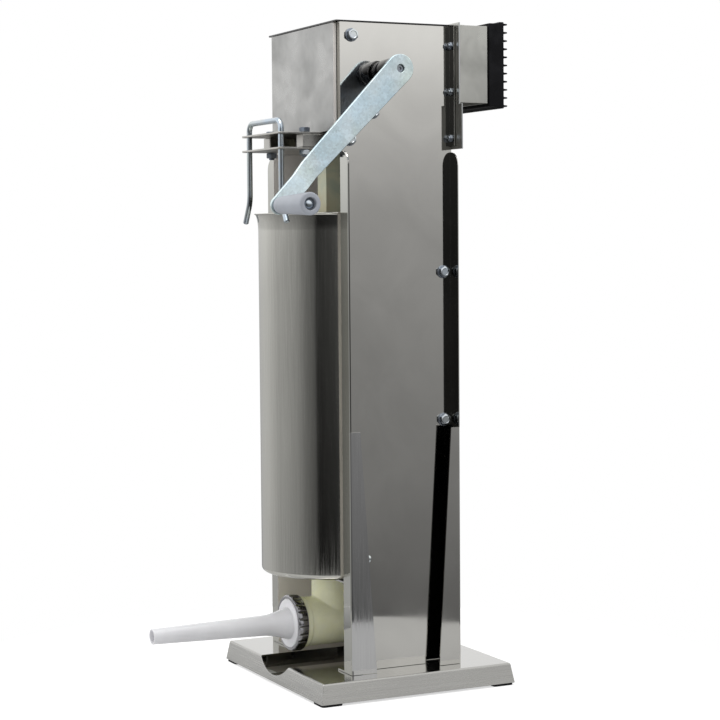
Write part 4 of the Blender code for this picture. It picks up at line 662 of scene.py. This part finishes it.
def side_panel(side, outward):
    """Folded sheet: polished outside, dull inside, with painted shade on its flanges and on its lips'
    inner faces.
    """
    panel = dressed(f"side_panel_{side}", MIRROR, width=0.00035, weld=PANEL_WELD)
    low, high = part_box(f"side_panel_{side}")
    flange = CYLINDER_AXIS.x + outward * (FLANGE_ROOT + FLANGE_SEEN)
    lip = CYLINDER_AXIS.x + outward * LIP_FACE
    front = low.y + SKIN_DEPTH
    rear = high.y - 0.003

    def inside(face):
        return face.normal.x * outward < -FACING

    def ahead(face):
        return face.normal.y < -FACING

    def past(face, place):
        return (face.center.x - place) * outward > 0

    def on_lip(face):
        return (face.normal.x * outward > FACING and past(face, lip) and face.center.z < LIP_TOP
                and face.center.y < CYLINDER_AXIS.y + LIP_MIDDLE)

    second_finish(panel, SATIN, inside)
    # Painted shade: the lips' inner faces in black.
    second_finish(panel, BLACK_SHADE,
                  lambda face: inside(face) and past(face, flange) and face.center.z < HEAD_FOOT)
    second_finish(panel, LIP, on_lip)
    # Painted shade on the rear flange's front face.
    second_finish(panel, SHADED, lambda face: ahead(face) and face.center.y > rear and past(face, flange))
    # Painted shade on the front flange below the head.
    second_finish(panel, FLANGE_SHADE,
                  lambda face: ahead(face) and face.center.z < HEAD_FOOT and face.center.y < front)
    second_finish(panel, SATIN,
                  lambda face: ahead(face) and face.center.z > HEAD_FOOT and face.center.y < front)


def build_column():
    side_panel("left", -1)
    side_panel("right", 1)
    back = dressed("back_panel", MIRROR)
    second_finish(back, SATIN, lambda face: face.normal.y < -FACING or abs(face.normal.x) > FACING)
    shelf()
    for side, outward in (("left", -1), ("right", 1)):
        for place in ("lid", "lower_plate", "upper_plate", "back_low", "back_high"):
            hex_bolt(f"{place}_bolt_{side}", "X", outward)
        shelf_rivet(f"shelf_rivet_{side}", outward)


def shelf():
    """The shelf's plate and ears, without the front lips, which the photograph doesn't show."""
    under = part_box("meat_cylinder")[0].z - SHELF_PLATE
    shape = clean_copy("cylinder_shelf")
    cut = bmesh.ops.bisect_plane(shape, geom=shape.verts[:] + shape.edges[:] + shape.faces[:], dist=1e-6,
                                 plane_co=(0, 0, under), plane_no=(0, 0, -1), clear_outer=True)
    rim = [item for item in cut["geom_cut"] if isinstance(item, bmesh.types.BMEdge)]
    bmesh.ops.holes_fill(shape, edges=rim, sides=0)
    weigh(piece("cylinder_shelf_finished", shape, TRAY, "cylinder_shelf"))


def shelf_rivet(node, outward):
    """Domed rivet and its flattened tail."""
    low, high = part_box(node)
    outer, inner = (high.x, low.x) if outward > 0 else (low.x, high.x)
    radius = (high.y - low.y) / 2
    neck = 0.6 * radius
    dome = 0.0013
    tail = 0.0012
    chamfer = 0.0003
    profile = [(0.0, outer)]
    profile += [(radius * sin(radians(a)), outer - outward * dome * (1 - cos(radians(a))))
                for a in range(15, 91, 15)]
    profile += [(neck, outer - outward * dome), (neck, inner + outward * tail)]
    profile += [(radius, inner + outward * tail), (0.8 * radius, inner + outward * chamfer), (0.0, inner)]
    piece(f"{node}_finished", revolve(profile, "X", middle(node), 32), ZINC, node)


def build_cylinder():
    """Tube with a rounded foot, a hole in its floor and a rim that flares to a rolled edge."""
    low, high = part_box("meat_cylinder")
    rim = (high.x - low.x) / 2
    radius = rim - RIM_FLARE
    inner = radius - TUBE_WALL
    edge = 0.005
    inner_edge = edge - TUBE_WALL
    hole = 0.019
    floor_top = low.z + TUBE_FLOOR
    flare = [(radius + RIM_FLARE * (1 - sqrt(max(0.0, 1 - s * s))) ** 0.9, high.z - RIM_HEIGHT * (1 - s))
             for s in [k / 14 for k in range(15)]]
    lip = [(rim, high.z - 0.0005), (rim - 0.0002, high.z), (rim - 0.0007, high.z)]
    back = [(r - TUBE_WALL, z) for r, z in reversed(flare[:-1])]
    profile = [(hole, low.z)] + bend(radius - edge, low.z + edge, edge, -90, 0, 8) + flare[:-1]
    profile += lip + back
    profile += bend(inner - edge + TUBE_WALL, floor_top + edge - TUBE_WALL, inner_edge, 0, -90, 6)
    profile += [(hole, floor_top)]
    tube = revolve(profile, "Z", CYLINDER_AXIS, 192)
    piece("meat_cylinder_finished", tube, TUBE, "meat_cylinder", smooth=ROUND_ANGLE)


def build_outlet():
    """Elbow with soft junctions: the node's solid rebuilt in small cells and smoothed."""
    thing = piece("outlet_body_finished", clean_copy("outlet_body"), CREAM, "outlet_body")
    cells = thing.modifiers.new("cells", "REMESH")
    cells.mode = "VOXEL"
    cells.voxel_size = 0.0007
    cells.use_smooth_shade = True
    soft = thing.modifiers.new("soft", "SMOOTH")
    soft.factor = 0.5
    soft.iterations = 6
    outlet_thread()


def outlet_thread():
    """Rings of thread on the spout, from inside the ring nut back to the elbow."""
    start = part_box("ring_nut")[1].y - 0.001
    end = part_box("outlet_body")[0].y + THREAD_LENGTH - 0.001
    root = THREAD_RADIUS - 0.0014
    flank = THREAD_RADIUS - 0.0010
    crest = THREAD_RADIUS - 0.0002
    profile = [(root, start)]
    along = start
    while along < end:
        profile += [(crest, along + 0.0006), (crest, along + 0.0010), (flank, along + 0.0016)]
        along += THREAD_PITCH
    profile += [(root, along)]
    trim("outlet_thread", revolve(profile, "Y", SPOUT_AXIS, 96), CREAM, "stand")


def build_funnel():
    """Thin-walled tube that flares to a collar and a disc behind it."""
    low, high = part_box("funnel")
    wall = 0.0013
    tip = 0.0075
    neck, wide = 0.0101, 0.0165
    mouth = 0.0242
    edge = 0.0005
    disc_back = high.y
    disc_front = disc_back - 0.002
    face = disc_front - 0.0024
    length = 0.028
    start = face - length
    flare = [(neck + (wide - neck) * (k / 12) ** 1.7, start + length * k / 12) for k in range(12)]
    outer = [(tip - 0.0003, low.y), (tip, low.y + 0.0004)] + flare + [(wide - 0.0004, face - 0.0004)]
    outer += [(wide + 0.0006, face), (mouth - edge, face), (mouth, face + edge), (mouth, disc_front),
              (THREAD_RADIUS, disc_front), (THREAD_RADIUS, disc_back)]
    inside = [(wide - wall, disc_back), (wide - wall, face - edge)]
    inside += [(radius - wall, along) for radius, along in reversed(flare)]
    inside += [(tip - wall, low.y + 0.0003), (tip - wall + 0.0003, low.y)]
    tube = revolve(outer + inside, "Y", SPOUT_AXIS, 96)
    piece("funnel_finished", tube, WHITE, "funnel", smooth=ROUND_ANGLE)


def build_ring_nut():
    """Grip ring with lugs, narrow grooves and a rolled front edge."""
    low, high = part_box("ring_nut")
    radius = (high.x - low.x) / 2
    lugs = 22
    steps = lugs * 16
    narrowness = 5
    bore = THREAD_RADIUS + 0.0004
    collar = 0.0246
    step = low.y + 0.0017
    rows = [(collar, low.y + 0.0002, 0.0), (0.0250, low.y, 0.0), (radius - 0.0016, low.y, 0.0),
            (radius - 0.0008, low.y + 0.0003, 0.0), (radius - 0.0003, low.y + 0.0008, 0.5),
            (radius, low.y + 0.0013, 1.0), (radius, high.y - 0.0010, 1.0),
            (radius - 0.0004, high.y - 0.0004, 0.6), (radius - 0.0010, high.y, 0.0),
            (bore, high.y, 0.0), (bore, step, 0.0), (collar, step, 0.0)]
    shape = bmesh.new()
    rings = []
    for limit, along, share in rows:
        ring = []
        for k in range(steps):
            angle = 2 * pi * k / steps
            wave = 0.5 + 0.5 * cos(lugs * angle)
            reach = limit - RIB_DEPTH * share * wave ** narrowness
            point = (SPOUT_AXIS.x + reach * cos(angle), along, SPOUT_AXIS.z + reach * sin(angle))
            ring.append(shape.verts.new(point))
        rings.append(ring)
    bridge(shape, looped(rings))
    bmesh.ops.recalc_face_normals(shape, faces=shape.faces[:])
    piece("ring_nut_finished", shape, NUT_CHROME, "ring_nut", smooth=50.0)


def build_press():
    dressed("rack", RACK, width=0.0002, edge_angle=15.0)
    dressed("piston", WHITE, width=0.0005)
    dressed("piston_bolt", ZINC, width=0.0002)
    piston_seal()


def piston_seal():
    """Seal with two lips and a waist between them."""
    low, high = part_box("piston_seal")
    outer = (high.x - low.x) / 2
    inner = outer - 0.0034
    half = (high.z - low.z) / 2
    mid = (high.z + low.z) / 2
    foot, top = mid - half, mid + half
    chamfer = 0.0006
    lip = 0.0016
    waist = 0.0010
    profile = [(inner, foot), (outer - chamfer, foot), (outer, foot + chamfer), (outer, foot + lip),
               (outer - waist, mid - waist), (outer - 0.0012, mid), (outer - waist, mid + waist),
               (outer, top - lip), (outer, top - chamfer), (outer - chamfer, top), (inner, top)]
    seal = revolve(profile, "Z", CYLINDER_AXIS, 128)
    piece("piston_seal_finished", seal, RUBBER, "piston_seal", smooth=60.0)


def build_head():
    for node in ("yoke_lower_plate", "yoke_upper_plate", "yoke_spacer_left", "yoke_spacer_right"):
        dressed(node, PLATE)
    cover = dressed("head_front_cover", COVER)
    second_finish(cover, SATIN, lambda face: abs(face.normal.x) > FACING)
    lid = dressed("head_lid", DECK)
    # Painted shade: the lid's edges in black for the dark gap under them.
    second_finish(lid, BLACK_SHADE, lambda face: abs(face.normal.z) < 0.5)
    dressed("guide_bracket", PLATE)
    dressed("rack_guide", WHITE)
    # The yoke bolts in darker zinc; the left nut gets it as painted shade.
    for side in ("left", "right"):
        hex_bolt(f"yoke_bolt_{side}", "Z", 1, DARK_ZINC_AND_SHADE, washer=False)
        yoke_nut(f"yoke_nut_{side}", DARK_ZINC_AND_SHADE if side == "left" else ZINC)
    lock_pin()


def yoke_nut(node, material):
    """Hexagon nut whose corners are turned off on both sides."""
    low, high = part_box(node)
    height = high.z - low.z
    flat_radius = FLAT_SHARE * BOLT_FLATS
    bore = BOLT_RADIUS + 0.0002
    rules = (lambda side: (bore, 0.0),
             lambda side: (flat_radius, 0.0),
             lambda side: (side, CORNER_FALL * (side - flat_radius)),
             lambda side: (side, height - CORNER_FALL * (side - flat_radius)),
             lambda side: (flat_radius, height),
             lambda side: (bore, height))
    shape = bmesh.new()
    rings = [hex_ring(shape, "Z", middle(node), low.z, 1, BOLT_FLATS, rule) for rule in rules]
    bridge(shape, looped(rings))
    bmesh.ops.recalc_face_normals(shape, faces=shape.faces[:])
    piece(f"{node}_finished", shape, material, node, smooth=HEX_ANGLE)


def pin_route(top):
    """Middle of the rod, from toe to toe, as (place across, height)."""
    half = PIN_HALF_SPAN
    knee_z = top - PIN_DROP
    toe_x, toe_z = half + PIN_KICK[0], top - PIN_DROP - PIN_KICK[1]
    right = [(half - PIN_BEND + PIN_BEND * sin(radians(a)), top - PIN_BEND + PIN_BEND * cos(radians(a)))
             for a in range(0, 91, 6)]
    right += [(half, z) for z in (top - 0.03, top - 0.05, knee_z + 0.010)]
    lean = Vector((toe_x - half, toe_z - knee_z)).normalized()
    knee = Vector((half, knee_z))
    for k in range(1, 11):
        point = pulled(Vector((half, knee_z + PIN_KNEE)), knee, knee + lean * PIN_KNEE, k / 10)
        right.append((point.x, point.y))
    right.append(tuple(Vector((toe_x, toe_z)) - lean * PIN_CHAMFER))
    return [(-x, z) for x, z in reversed(right)] + right


def lock_pin():
    """Round rod bent to a U, its toes kicked outwards, the cut ends chamfered."""
    centre = middle("lock_pin")
    route = pin_route(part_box("lock_pin")[1].z - PIN_ROD)
    steps = 24
    rings = []
    shape = bmesh.new()

    def ring(x, z, way, radius):
        across = Vector((way.y, -way.x))
        angles = [2 * pi * k / steps for k in range(steps)]
        rings.append([shape.verts.new((centre.x + x + across.x * radius * cos(angle),
                                       centre.y + radius * sin(angle),
                                       z + across.y * radius * cos(angle))) for angle in angles])

    start_way = (Vector(route[1]) - Vector(route[0])).normalized()
    end_way = (Vector(route[-1]) - Vector(route[-2])).normalized()
    ring(*(Vector(route[0]) - start_way * PIN_CHAMFER), start_way, PIN_ROD - PIN_CHAMFER)
    for i, (x, z) in enumerate(route):
        ahead = Vector(route[min(i + 1, len(route) - 1)]) - Vector((x, z))
        behind = Vector((x, z)) - Vector(route[max(i - 1, 0)])
        ring(x, z, (ahead.normalized() + behind.normalized()).normalized(), PIN_ROD)
    ring(*(Vector(route[-1]) + end_way * PIN_CHAMFER), end_way, PIN_ROD - PIN_CHAMFER)
    bridge(shape, zip(rings, rings[1:]))
    shape.faces.new(rings[0])
    shape.faces.new(rings[-1])
    bmesh.ops.recalc_face_normals(shape, faces=shape.faces[:])
    piece("lock_pin_finished", shape, CHROME, "lock_pin", smooth=ROUND_ANGLE)


def build_crank():
    crank_shaft()
    shaft_bush("left", -1)
    shaft_bush("right", 1)
    dressed("shaft_collar", DARK, width=0.0004)
    dressed("pinion", DARK, width=0.0002)
    dressed("pinion_pin", DARK, width=0.0002)
    arm = dressed("crank_arm", ZINC_ARM, width=0.0005, segments=3)
    # Painted shade on the arm's back, which faces the panel.
    second_finish(arm, DARK_ZINC_AND_SHADE, lambda face: face.normal.x < -FACING)
    # Painted shade: the crank screw in black in its recess, its end face in darker zinc.
    screw = dressed("crank_screw", BLACK_SHADE, width=0.0002)
    second_finish(screw, DARK_ZINC_AND_SHADE, lambda face: face.normal.x > FACING)
    grip()


def crank_shaft():
    """Shaft with a neck and a grooved hub, bored for the crank's screw."""
    low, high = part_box("crank_shaft")
    hub_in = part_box("shaft_bush_right")[1].x + 0.0003
    hub, thin = HUB_RADIUS, SHAFT_RADIUS
    neck_end = hub_in + NECK_LENGTH
    groove = neck_end + 0.0150
    groove_floor = hub - 0.0005
    socket, depth = 0.0033, 0.016
    end = high.x
    foot_chamfer, hub_chamfer, end_chamfer = 0.0008, 0.0009, 0.0010
    profile = [(0.0, low.x), (thin - foot_chamfer, low.x), (thin, low.x + foot_chamfer), (thin, hub_in),
               (NECK_RADIUS, hub_in), (NECK_RADIUS, neck_end), (hub - hub_chamfer, neck_end),
               (hub, neck_end + hub_chamfer), (hub, groove), (groove_floor, groove + 0.0006),
               (groove_floor, groove + 0.0016), (hub, groove + 0.0022), (hub, end - end_chamfer),
               (hub - end_chamfer, end), (socket, end), (socket, end - depth), (0.0, end - depth)]
    shaft = revolve(rounded(profile, 0.0002, 2), "X", CRANK_AXIS, 96)
    piece("crank_shaft_finished", shaft, DARK, "crank_shaft")


def shaft_bush(side, outward):
    """Sleeve with an outer flange."""
    low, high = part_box(f"shaft_bush_{side}")
    inside, outside = (low.x, high.x) if outward > 0 else (high.x, low.x)
    bore = SHAFT_RADIUS + 0.00015
    seat = outside - outward * 0.002
    sleeve = [(bore, inside), (bore + BUSH_WALL, inside), (bore + BUSH_WALL, seat), (BUSH_FLANGE, seat),
              (BUSH_FLANGE, outside), (bore, outside)]
    bush = revolve(rounded(sleeve, 0.0004, 2), "X", CRANK_AXIS, 64)
    piece(f"shaft_bush_{side}_finished", bush, DARK, f"shaft_bush_{side}")


def grip():
    """Tapered grip with a sunk end, turning on its domed bolt, and the bolt's nut."""
    low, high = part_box("handle_grip")
    large = (high.y - low.y) / 2
    small = 0.0077
    edge = 0.0014
    end_edge = 0.0020
    sink_radius, sink = 0.0058, high.x - 0.0065
    sink_edge = 0.0005
    bore = 0.0035
    reach = high.x - low.x
    profile = [(bore, low.x), (small - edge, low.x), (small - 0.0004, low.x + 0.0004),
               (small, low.x + edge)]
    profile += [(small + (large - small) * (0.10 + 0.90 * (k / 8) ** 0.95),
                 low.x + 0.004 + (reach - 0.006) * k / 8) for k in range(9)]
    profile += bend(large - end_edge, high.x - end_edge, end_edge, 0, 90, 6)[1:]
    profile += [(sink_radius + sink_edge, high.x), (sink_radius, high.x - sink_edge),
                (sink_radius, sink), (bore, sink)]
    handle = revolve(profile, "X", GRIP_AXIS, 96)
    piece("handle_grip_finished", handle, GREY, "handle_grip", smooth=ROUND_ANGLE)
    handle_bolt()
    dressed("handle_nut", ZINC)


def handle_bolt():
    """Bolt with a domed head."""
    low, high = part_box("handle_bolt")
    head = 0.0048
    seat = high.x - 0.0038
    dome = [(head * cos(radians(a)), seat + 0.0012 + 0.0026 * sin(radians(a))) for a in range(0, 91, 15)]
    dome[-1] = (0.0, dome[-1][1])
    profile = [(0.0, low.x), (BOLT_RADIUS, low.x), (BOLT_RADIUS, seat), (head, seat)] + dome
    piece("handle_bolt_finished", revolve(profile, "X", GRIP_AXIS, 48), ZINC, "handle_bolt")


def build_rear():
    bracket = dressed("rear_bracket", BRACKET)
    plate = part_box("back_panel")[1].y
    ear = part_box("side_panel_right")[1].x - CYLINDER_AXIS.x - EAR_REACH

    def on_ear(face):
        return abs(face.center.x - CYLINDER_AXIS.x) > ear and face.center.y < plate + EAR_DEPTH

    # Painted shade on the bracket's ears.
    second_finish(bracket, EAR_SHADE, on_ear)
    # Painted shade on the studs in front of the back plate.
    second_finish(bracket, DARK_ZINC_AND_SHADE, lambda face: face.center.y < plate - EAR_REACH / 20)
    dressed("rear_foot_pad", RUBBER, width=0.0006, segments=3, edge_angle=20.0)


# Studio

def camera():
    """The photograph's camera, placed from the cylinder's axis and rolled about its own."""
    azimuth, elevation, roll = radians(CAMERA_AZIMUTH), radians(CAMERA_ELEVATION), radians(CAMERA_ROLL)
    back = Vector((sin(azimuth) * cos(elevation), -cos(azimuth) * cos(elevation), sin(elevation)))
    level = Vector((cos(azimuth), sin(azimuth), 0.0))
    upright = back.cross(level)
    right = cos(roll) * level + sin(roll) * upright
    up = -sin(roll) * level + cos(roll) * upright
    data = bpy.data.cameras.new("camera")
    data.lens = CAMERA_LENS
    data.sensor_fit = "HORIZONTAL"
    data.sensor_width = SENSOR
    data.clip_end = 100.0
    view = bpy.data.objects.new("camera", data)
    bpy.context.scene.collection.objects.link(view)
    turn = Matrix((right, up, back)).transposed()
    place = CYLINDER_AXIS + Vector(CAMERA_FROM_CYLINDER)
    view.matrix_world = Matrix.Translation(place) @ turn.to_4x4()
    bpy.context.scene.camera = view


# What polished steel mirrors: brightness of the studio by direction, in degrees from the
# funnel's side towards the crank's, and by height above the horizon
AROUND = ((-180, 0.50), (-140, 0.45), (-116, 0.42), (-90, 0.58), (-73, 0.66), (-60, 0.68),
          (-48, 0.62), (-39, 0.56), (-33, 0.51), (-27, 0.47), (-20, 0.47), (-12, 0.44), (-5, 0.41),
          (2, 0.375), (9, 0.345), (16, 0.28), (22, 0.22), (28, 0.175), (34, 0.145), (39, 0.115),
          (43, 0.045), (50, 0.037), (56, 0.045), (62, 0.052), (70, 0.060), (75, 0.075), (80, 0.15),
          (90, 0.30), (116, 0.35), (140, 0.42), (180, 0.50))
HEIGHTS_FRONT = ((-40, 0.60), (-12, 0.85), (-9, 0.92), (-5, 0.97), (-2, 1.0), (1, 1.3), (2.5, 1.65),
                 (4, 2.1), (6, 3.0), (9, 3.2), (40, 3.2))
HEIGHTS_SIDE = ((-40, 0.40), (-12, 0.40), (-10, 0.48), (-7.5, 0.70), (-5, 0.80), (-2, 1.0), (1, 1.3),
                (2.5, 1.65), (4, 2.1), (6, 3.0), (9, 3.2), (40, 3.2))
SIDE_SHARE = ((-180, 1.0), (-110, 1.0), (-90, 0.0), (41, 0.0), (44, 1.0), (180, 1.0))
ABOVE = ((-5, 0.0), (6, 0.0), (20, 0.35), (45, 0.9), (90, 1.0))
BRIGHTEST = 1.1
SOFT_LIGHT = 0.78
FLOOR_COLOUR = 0.62
FLOOR_FILL = 0.60


def studio():
    """White to the camera, even soft light on dull faces, and the lists above in mirrors."""
    world = bpy.data.worlds.new("studio")
    bpy.context.scene.world = world
    world.use_nodes = True
    tree = world.node_tree
    tree.nodes.clear()
    join = tree.links.new

    def add(kind, **settings):
        node = tree.nodes.new(kind)
        for name, value in settings.items():
            setattr(node, name, value)
        return node

    def maths(operation, *values):
        node = add("ShaderNodeMath", operation=operation)
        for socket, value in zip(node.inputs, values):
            if isinstance(value, (int, float)):
                socket.default_value = value
            else:
                join(value, socket)
        return node.outputs[0]

    def curve(value, stops, low, high, top):
        """A value looked up in a list of (place, height), drawn as a grey ramp."""
        ranged = maths("DIVIDE", maths("SUBTRACT", value, float(low)), float(high - low))
        node = add("ShaderNodeValToRGB")
        elements = node.color_ramp.elements
        while len(elements) < len(stops):
            elements.new(0.5)
        for element, (place, height) in zip(elements, stops):
            element.position = (place - low) / (high - low)
            element.color = (height / top, height / top, height / top, 1.0)
        join(ranged, node.inputs["Fac"])
        return maths("MULTIPLY", node.outputs["Color"], float(top))

    way = add("ShaderNodeSeparateXYZ")
    join(add("ShaderNodeTexCoord").outputs["Generated"], way.inputs[0])
    x, y, z = way.outputs
    turn = maths("DEGREES", maths("ARCTAN2", x, maths("MULTIPLY", y, -1.0)))
    rise = maths("DEGREES", maths("ARCSINE", z))
    around = curve(turn, AROUND, -180, 180, 1.0)
    front = curve(rise, HEIGHTS_FRONT, -40, 40, 4.0)
    side = curve(rise, HEIGHTS_SIDE, -40, 40, 4.0)
    share = curve(turn, SIDE_SHARE, -180, 180, 1.0)
    height = maths("ADD", maths("MULTIPLY", share, maths("SUBTRACT", side, front)), front)
    above = curve(rise, ABOVE, -5, 90, 1.0)
    mirrored = maths("MINIMUM", maths("ADD", maths("MULTIPLY", around, height), above), BRIGHTEST)
    path = add("ShaderNodeLightPath")
    glossy = path.outputs["Is Glossy Ray"]
    lit = maths("ADD", maths("MULTIPLY", glossy, maths("SUBTRACT", mirrored, SOFT_LIGHT)), SOFT_LIGHT)
    seen = maths("MAXIMUM", path.outputs["Is Camera Ray"], path.outputs["Is Transmission Ray"])
    level = maths("ADD", maths("MULTIPLY", seen, maths("SUBTRACT", 1.0, lit)), lit)
    background = add("ShaderNodeBackground")
    join(level, background.inputs["Strength"])
    background.inputs["Color"].default_value = (1.0, 1.0, 1.0, 1.0)
    join(background.outputs[0], add("ShaderNodeOutputWorld").inputs["Surface"])


def lamp(name, place, target, width, power, glossy=True):
    """Round area lamp that faces a target; without glossy, no mirror shows it."""
    data = bpy.data.lights.new(name, "AREA")
    data.shape = "DISK"
    data.size = width
    data.energy = power
    thing = bpy.data.objects.new(name, data)
    bpy.context.scene.collection.objects.link(thing)
    thing.location = place
    thing.rotation_euler = (Vector(target) - Vector(place)).to_track_quat("-Z", "Y").to_euler()
    thing.visible_glossy = glossy


def floor():
    """Pale round floor; the camera sees it as white as the background, but for the shadow."""
    shape = bmesh.new()
    bmesh.ops.create_circle(shape, cap_ends=True, radius=FLOOR_RADIUS, segments=128)
    mesh = bpy.data.meshes.new("floor")
    shape.to_mesh(mesh)
    shape.free()
    thing = bpy.data.objects.new("floor", mesh)
    bpy.context.scene.collection.objects.link(thing)
    material = bpy.data.materials.new("floor")
    material.use_nodes = True
    tree = material.node_tree
    shader = tree.nodes["Principled BSDF"]
    shader.inputs["Base Color"].default_value = (FLOOR_COLOUR, FLOOR_COLOUR, FLOOR_COLOUR, 1.0)
    shader.inputs["Roughness"].default_value = 0.9
    shader.inputs["Specular IOR Level"].default_value = 0.0
    shader.inputs["Emission Color"].default_value = (1.0, 1.0, 1.0, 1.0)
    path = tree.nodes.new("ShaderNodeLightPath")
    fill = tree.nodes.new("ShaderNodeMath")
    fill.operation = "MULTIPLY"
    fill.inputs[1].default_value = FLOOR_FILL
    tree.links.new(path.outputs["Is Camera Ray"], fill.inputs[0])
    tree.links.new(fill.outputs[0], shader.inputs["Emission Strength"])
    mesh.materials.append(material)


def main():
    bpy.context.scene.view_settings.view_transform = "Standard"
    camera()
    studio()
    lamp("top_light", place=(0.3, -0.4, 2.2), target=(0.0, 0.0, 0.2), width=1.6, power=14.0)
    lamp("front_light", place=(-0.9, -1.6, 0.5), target=(0.0, 0.0, 0.15), width=1.0, power=7.0,
         glossy=False)
    floor()
    build_base()
    build_column()
    build_cylinder()
    build_outlet()
    build_funnel()
    build_ring_nut()
    build_press()
    build_head()
    build_crank()
    build_rear()


main()
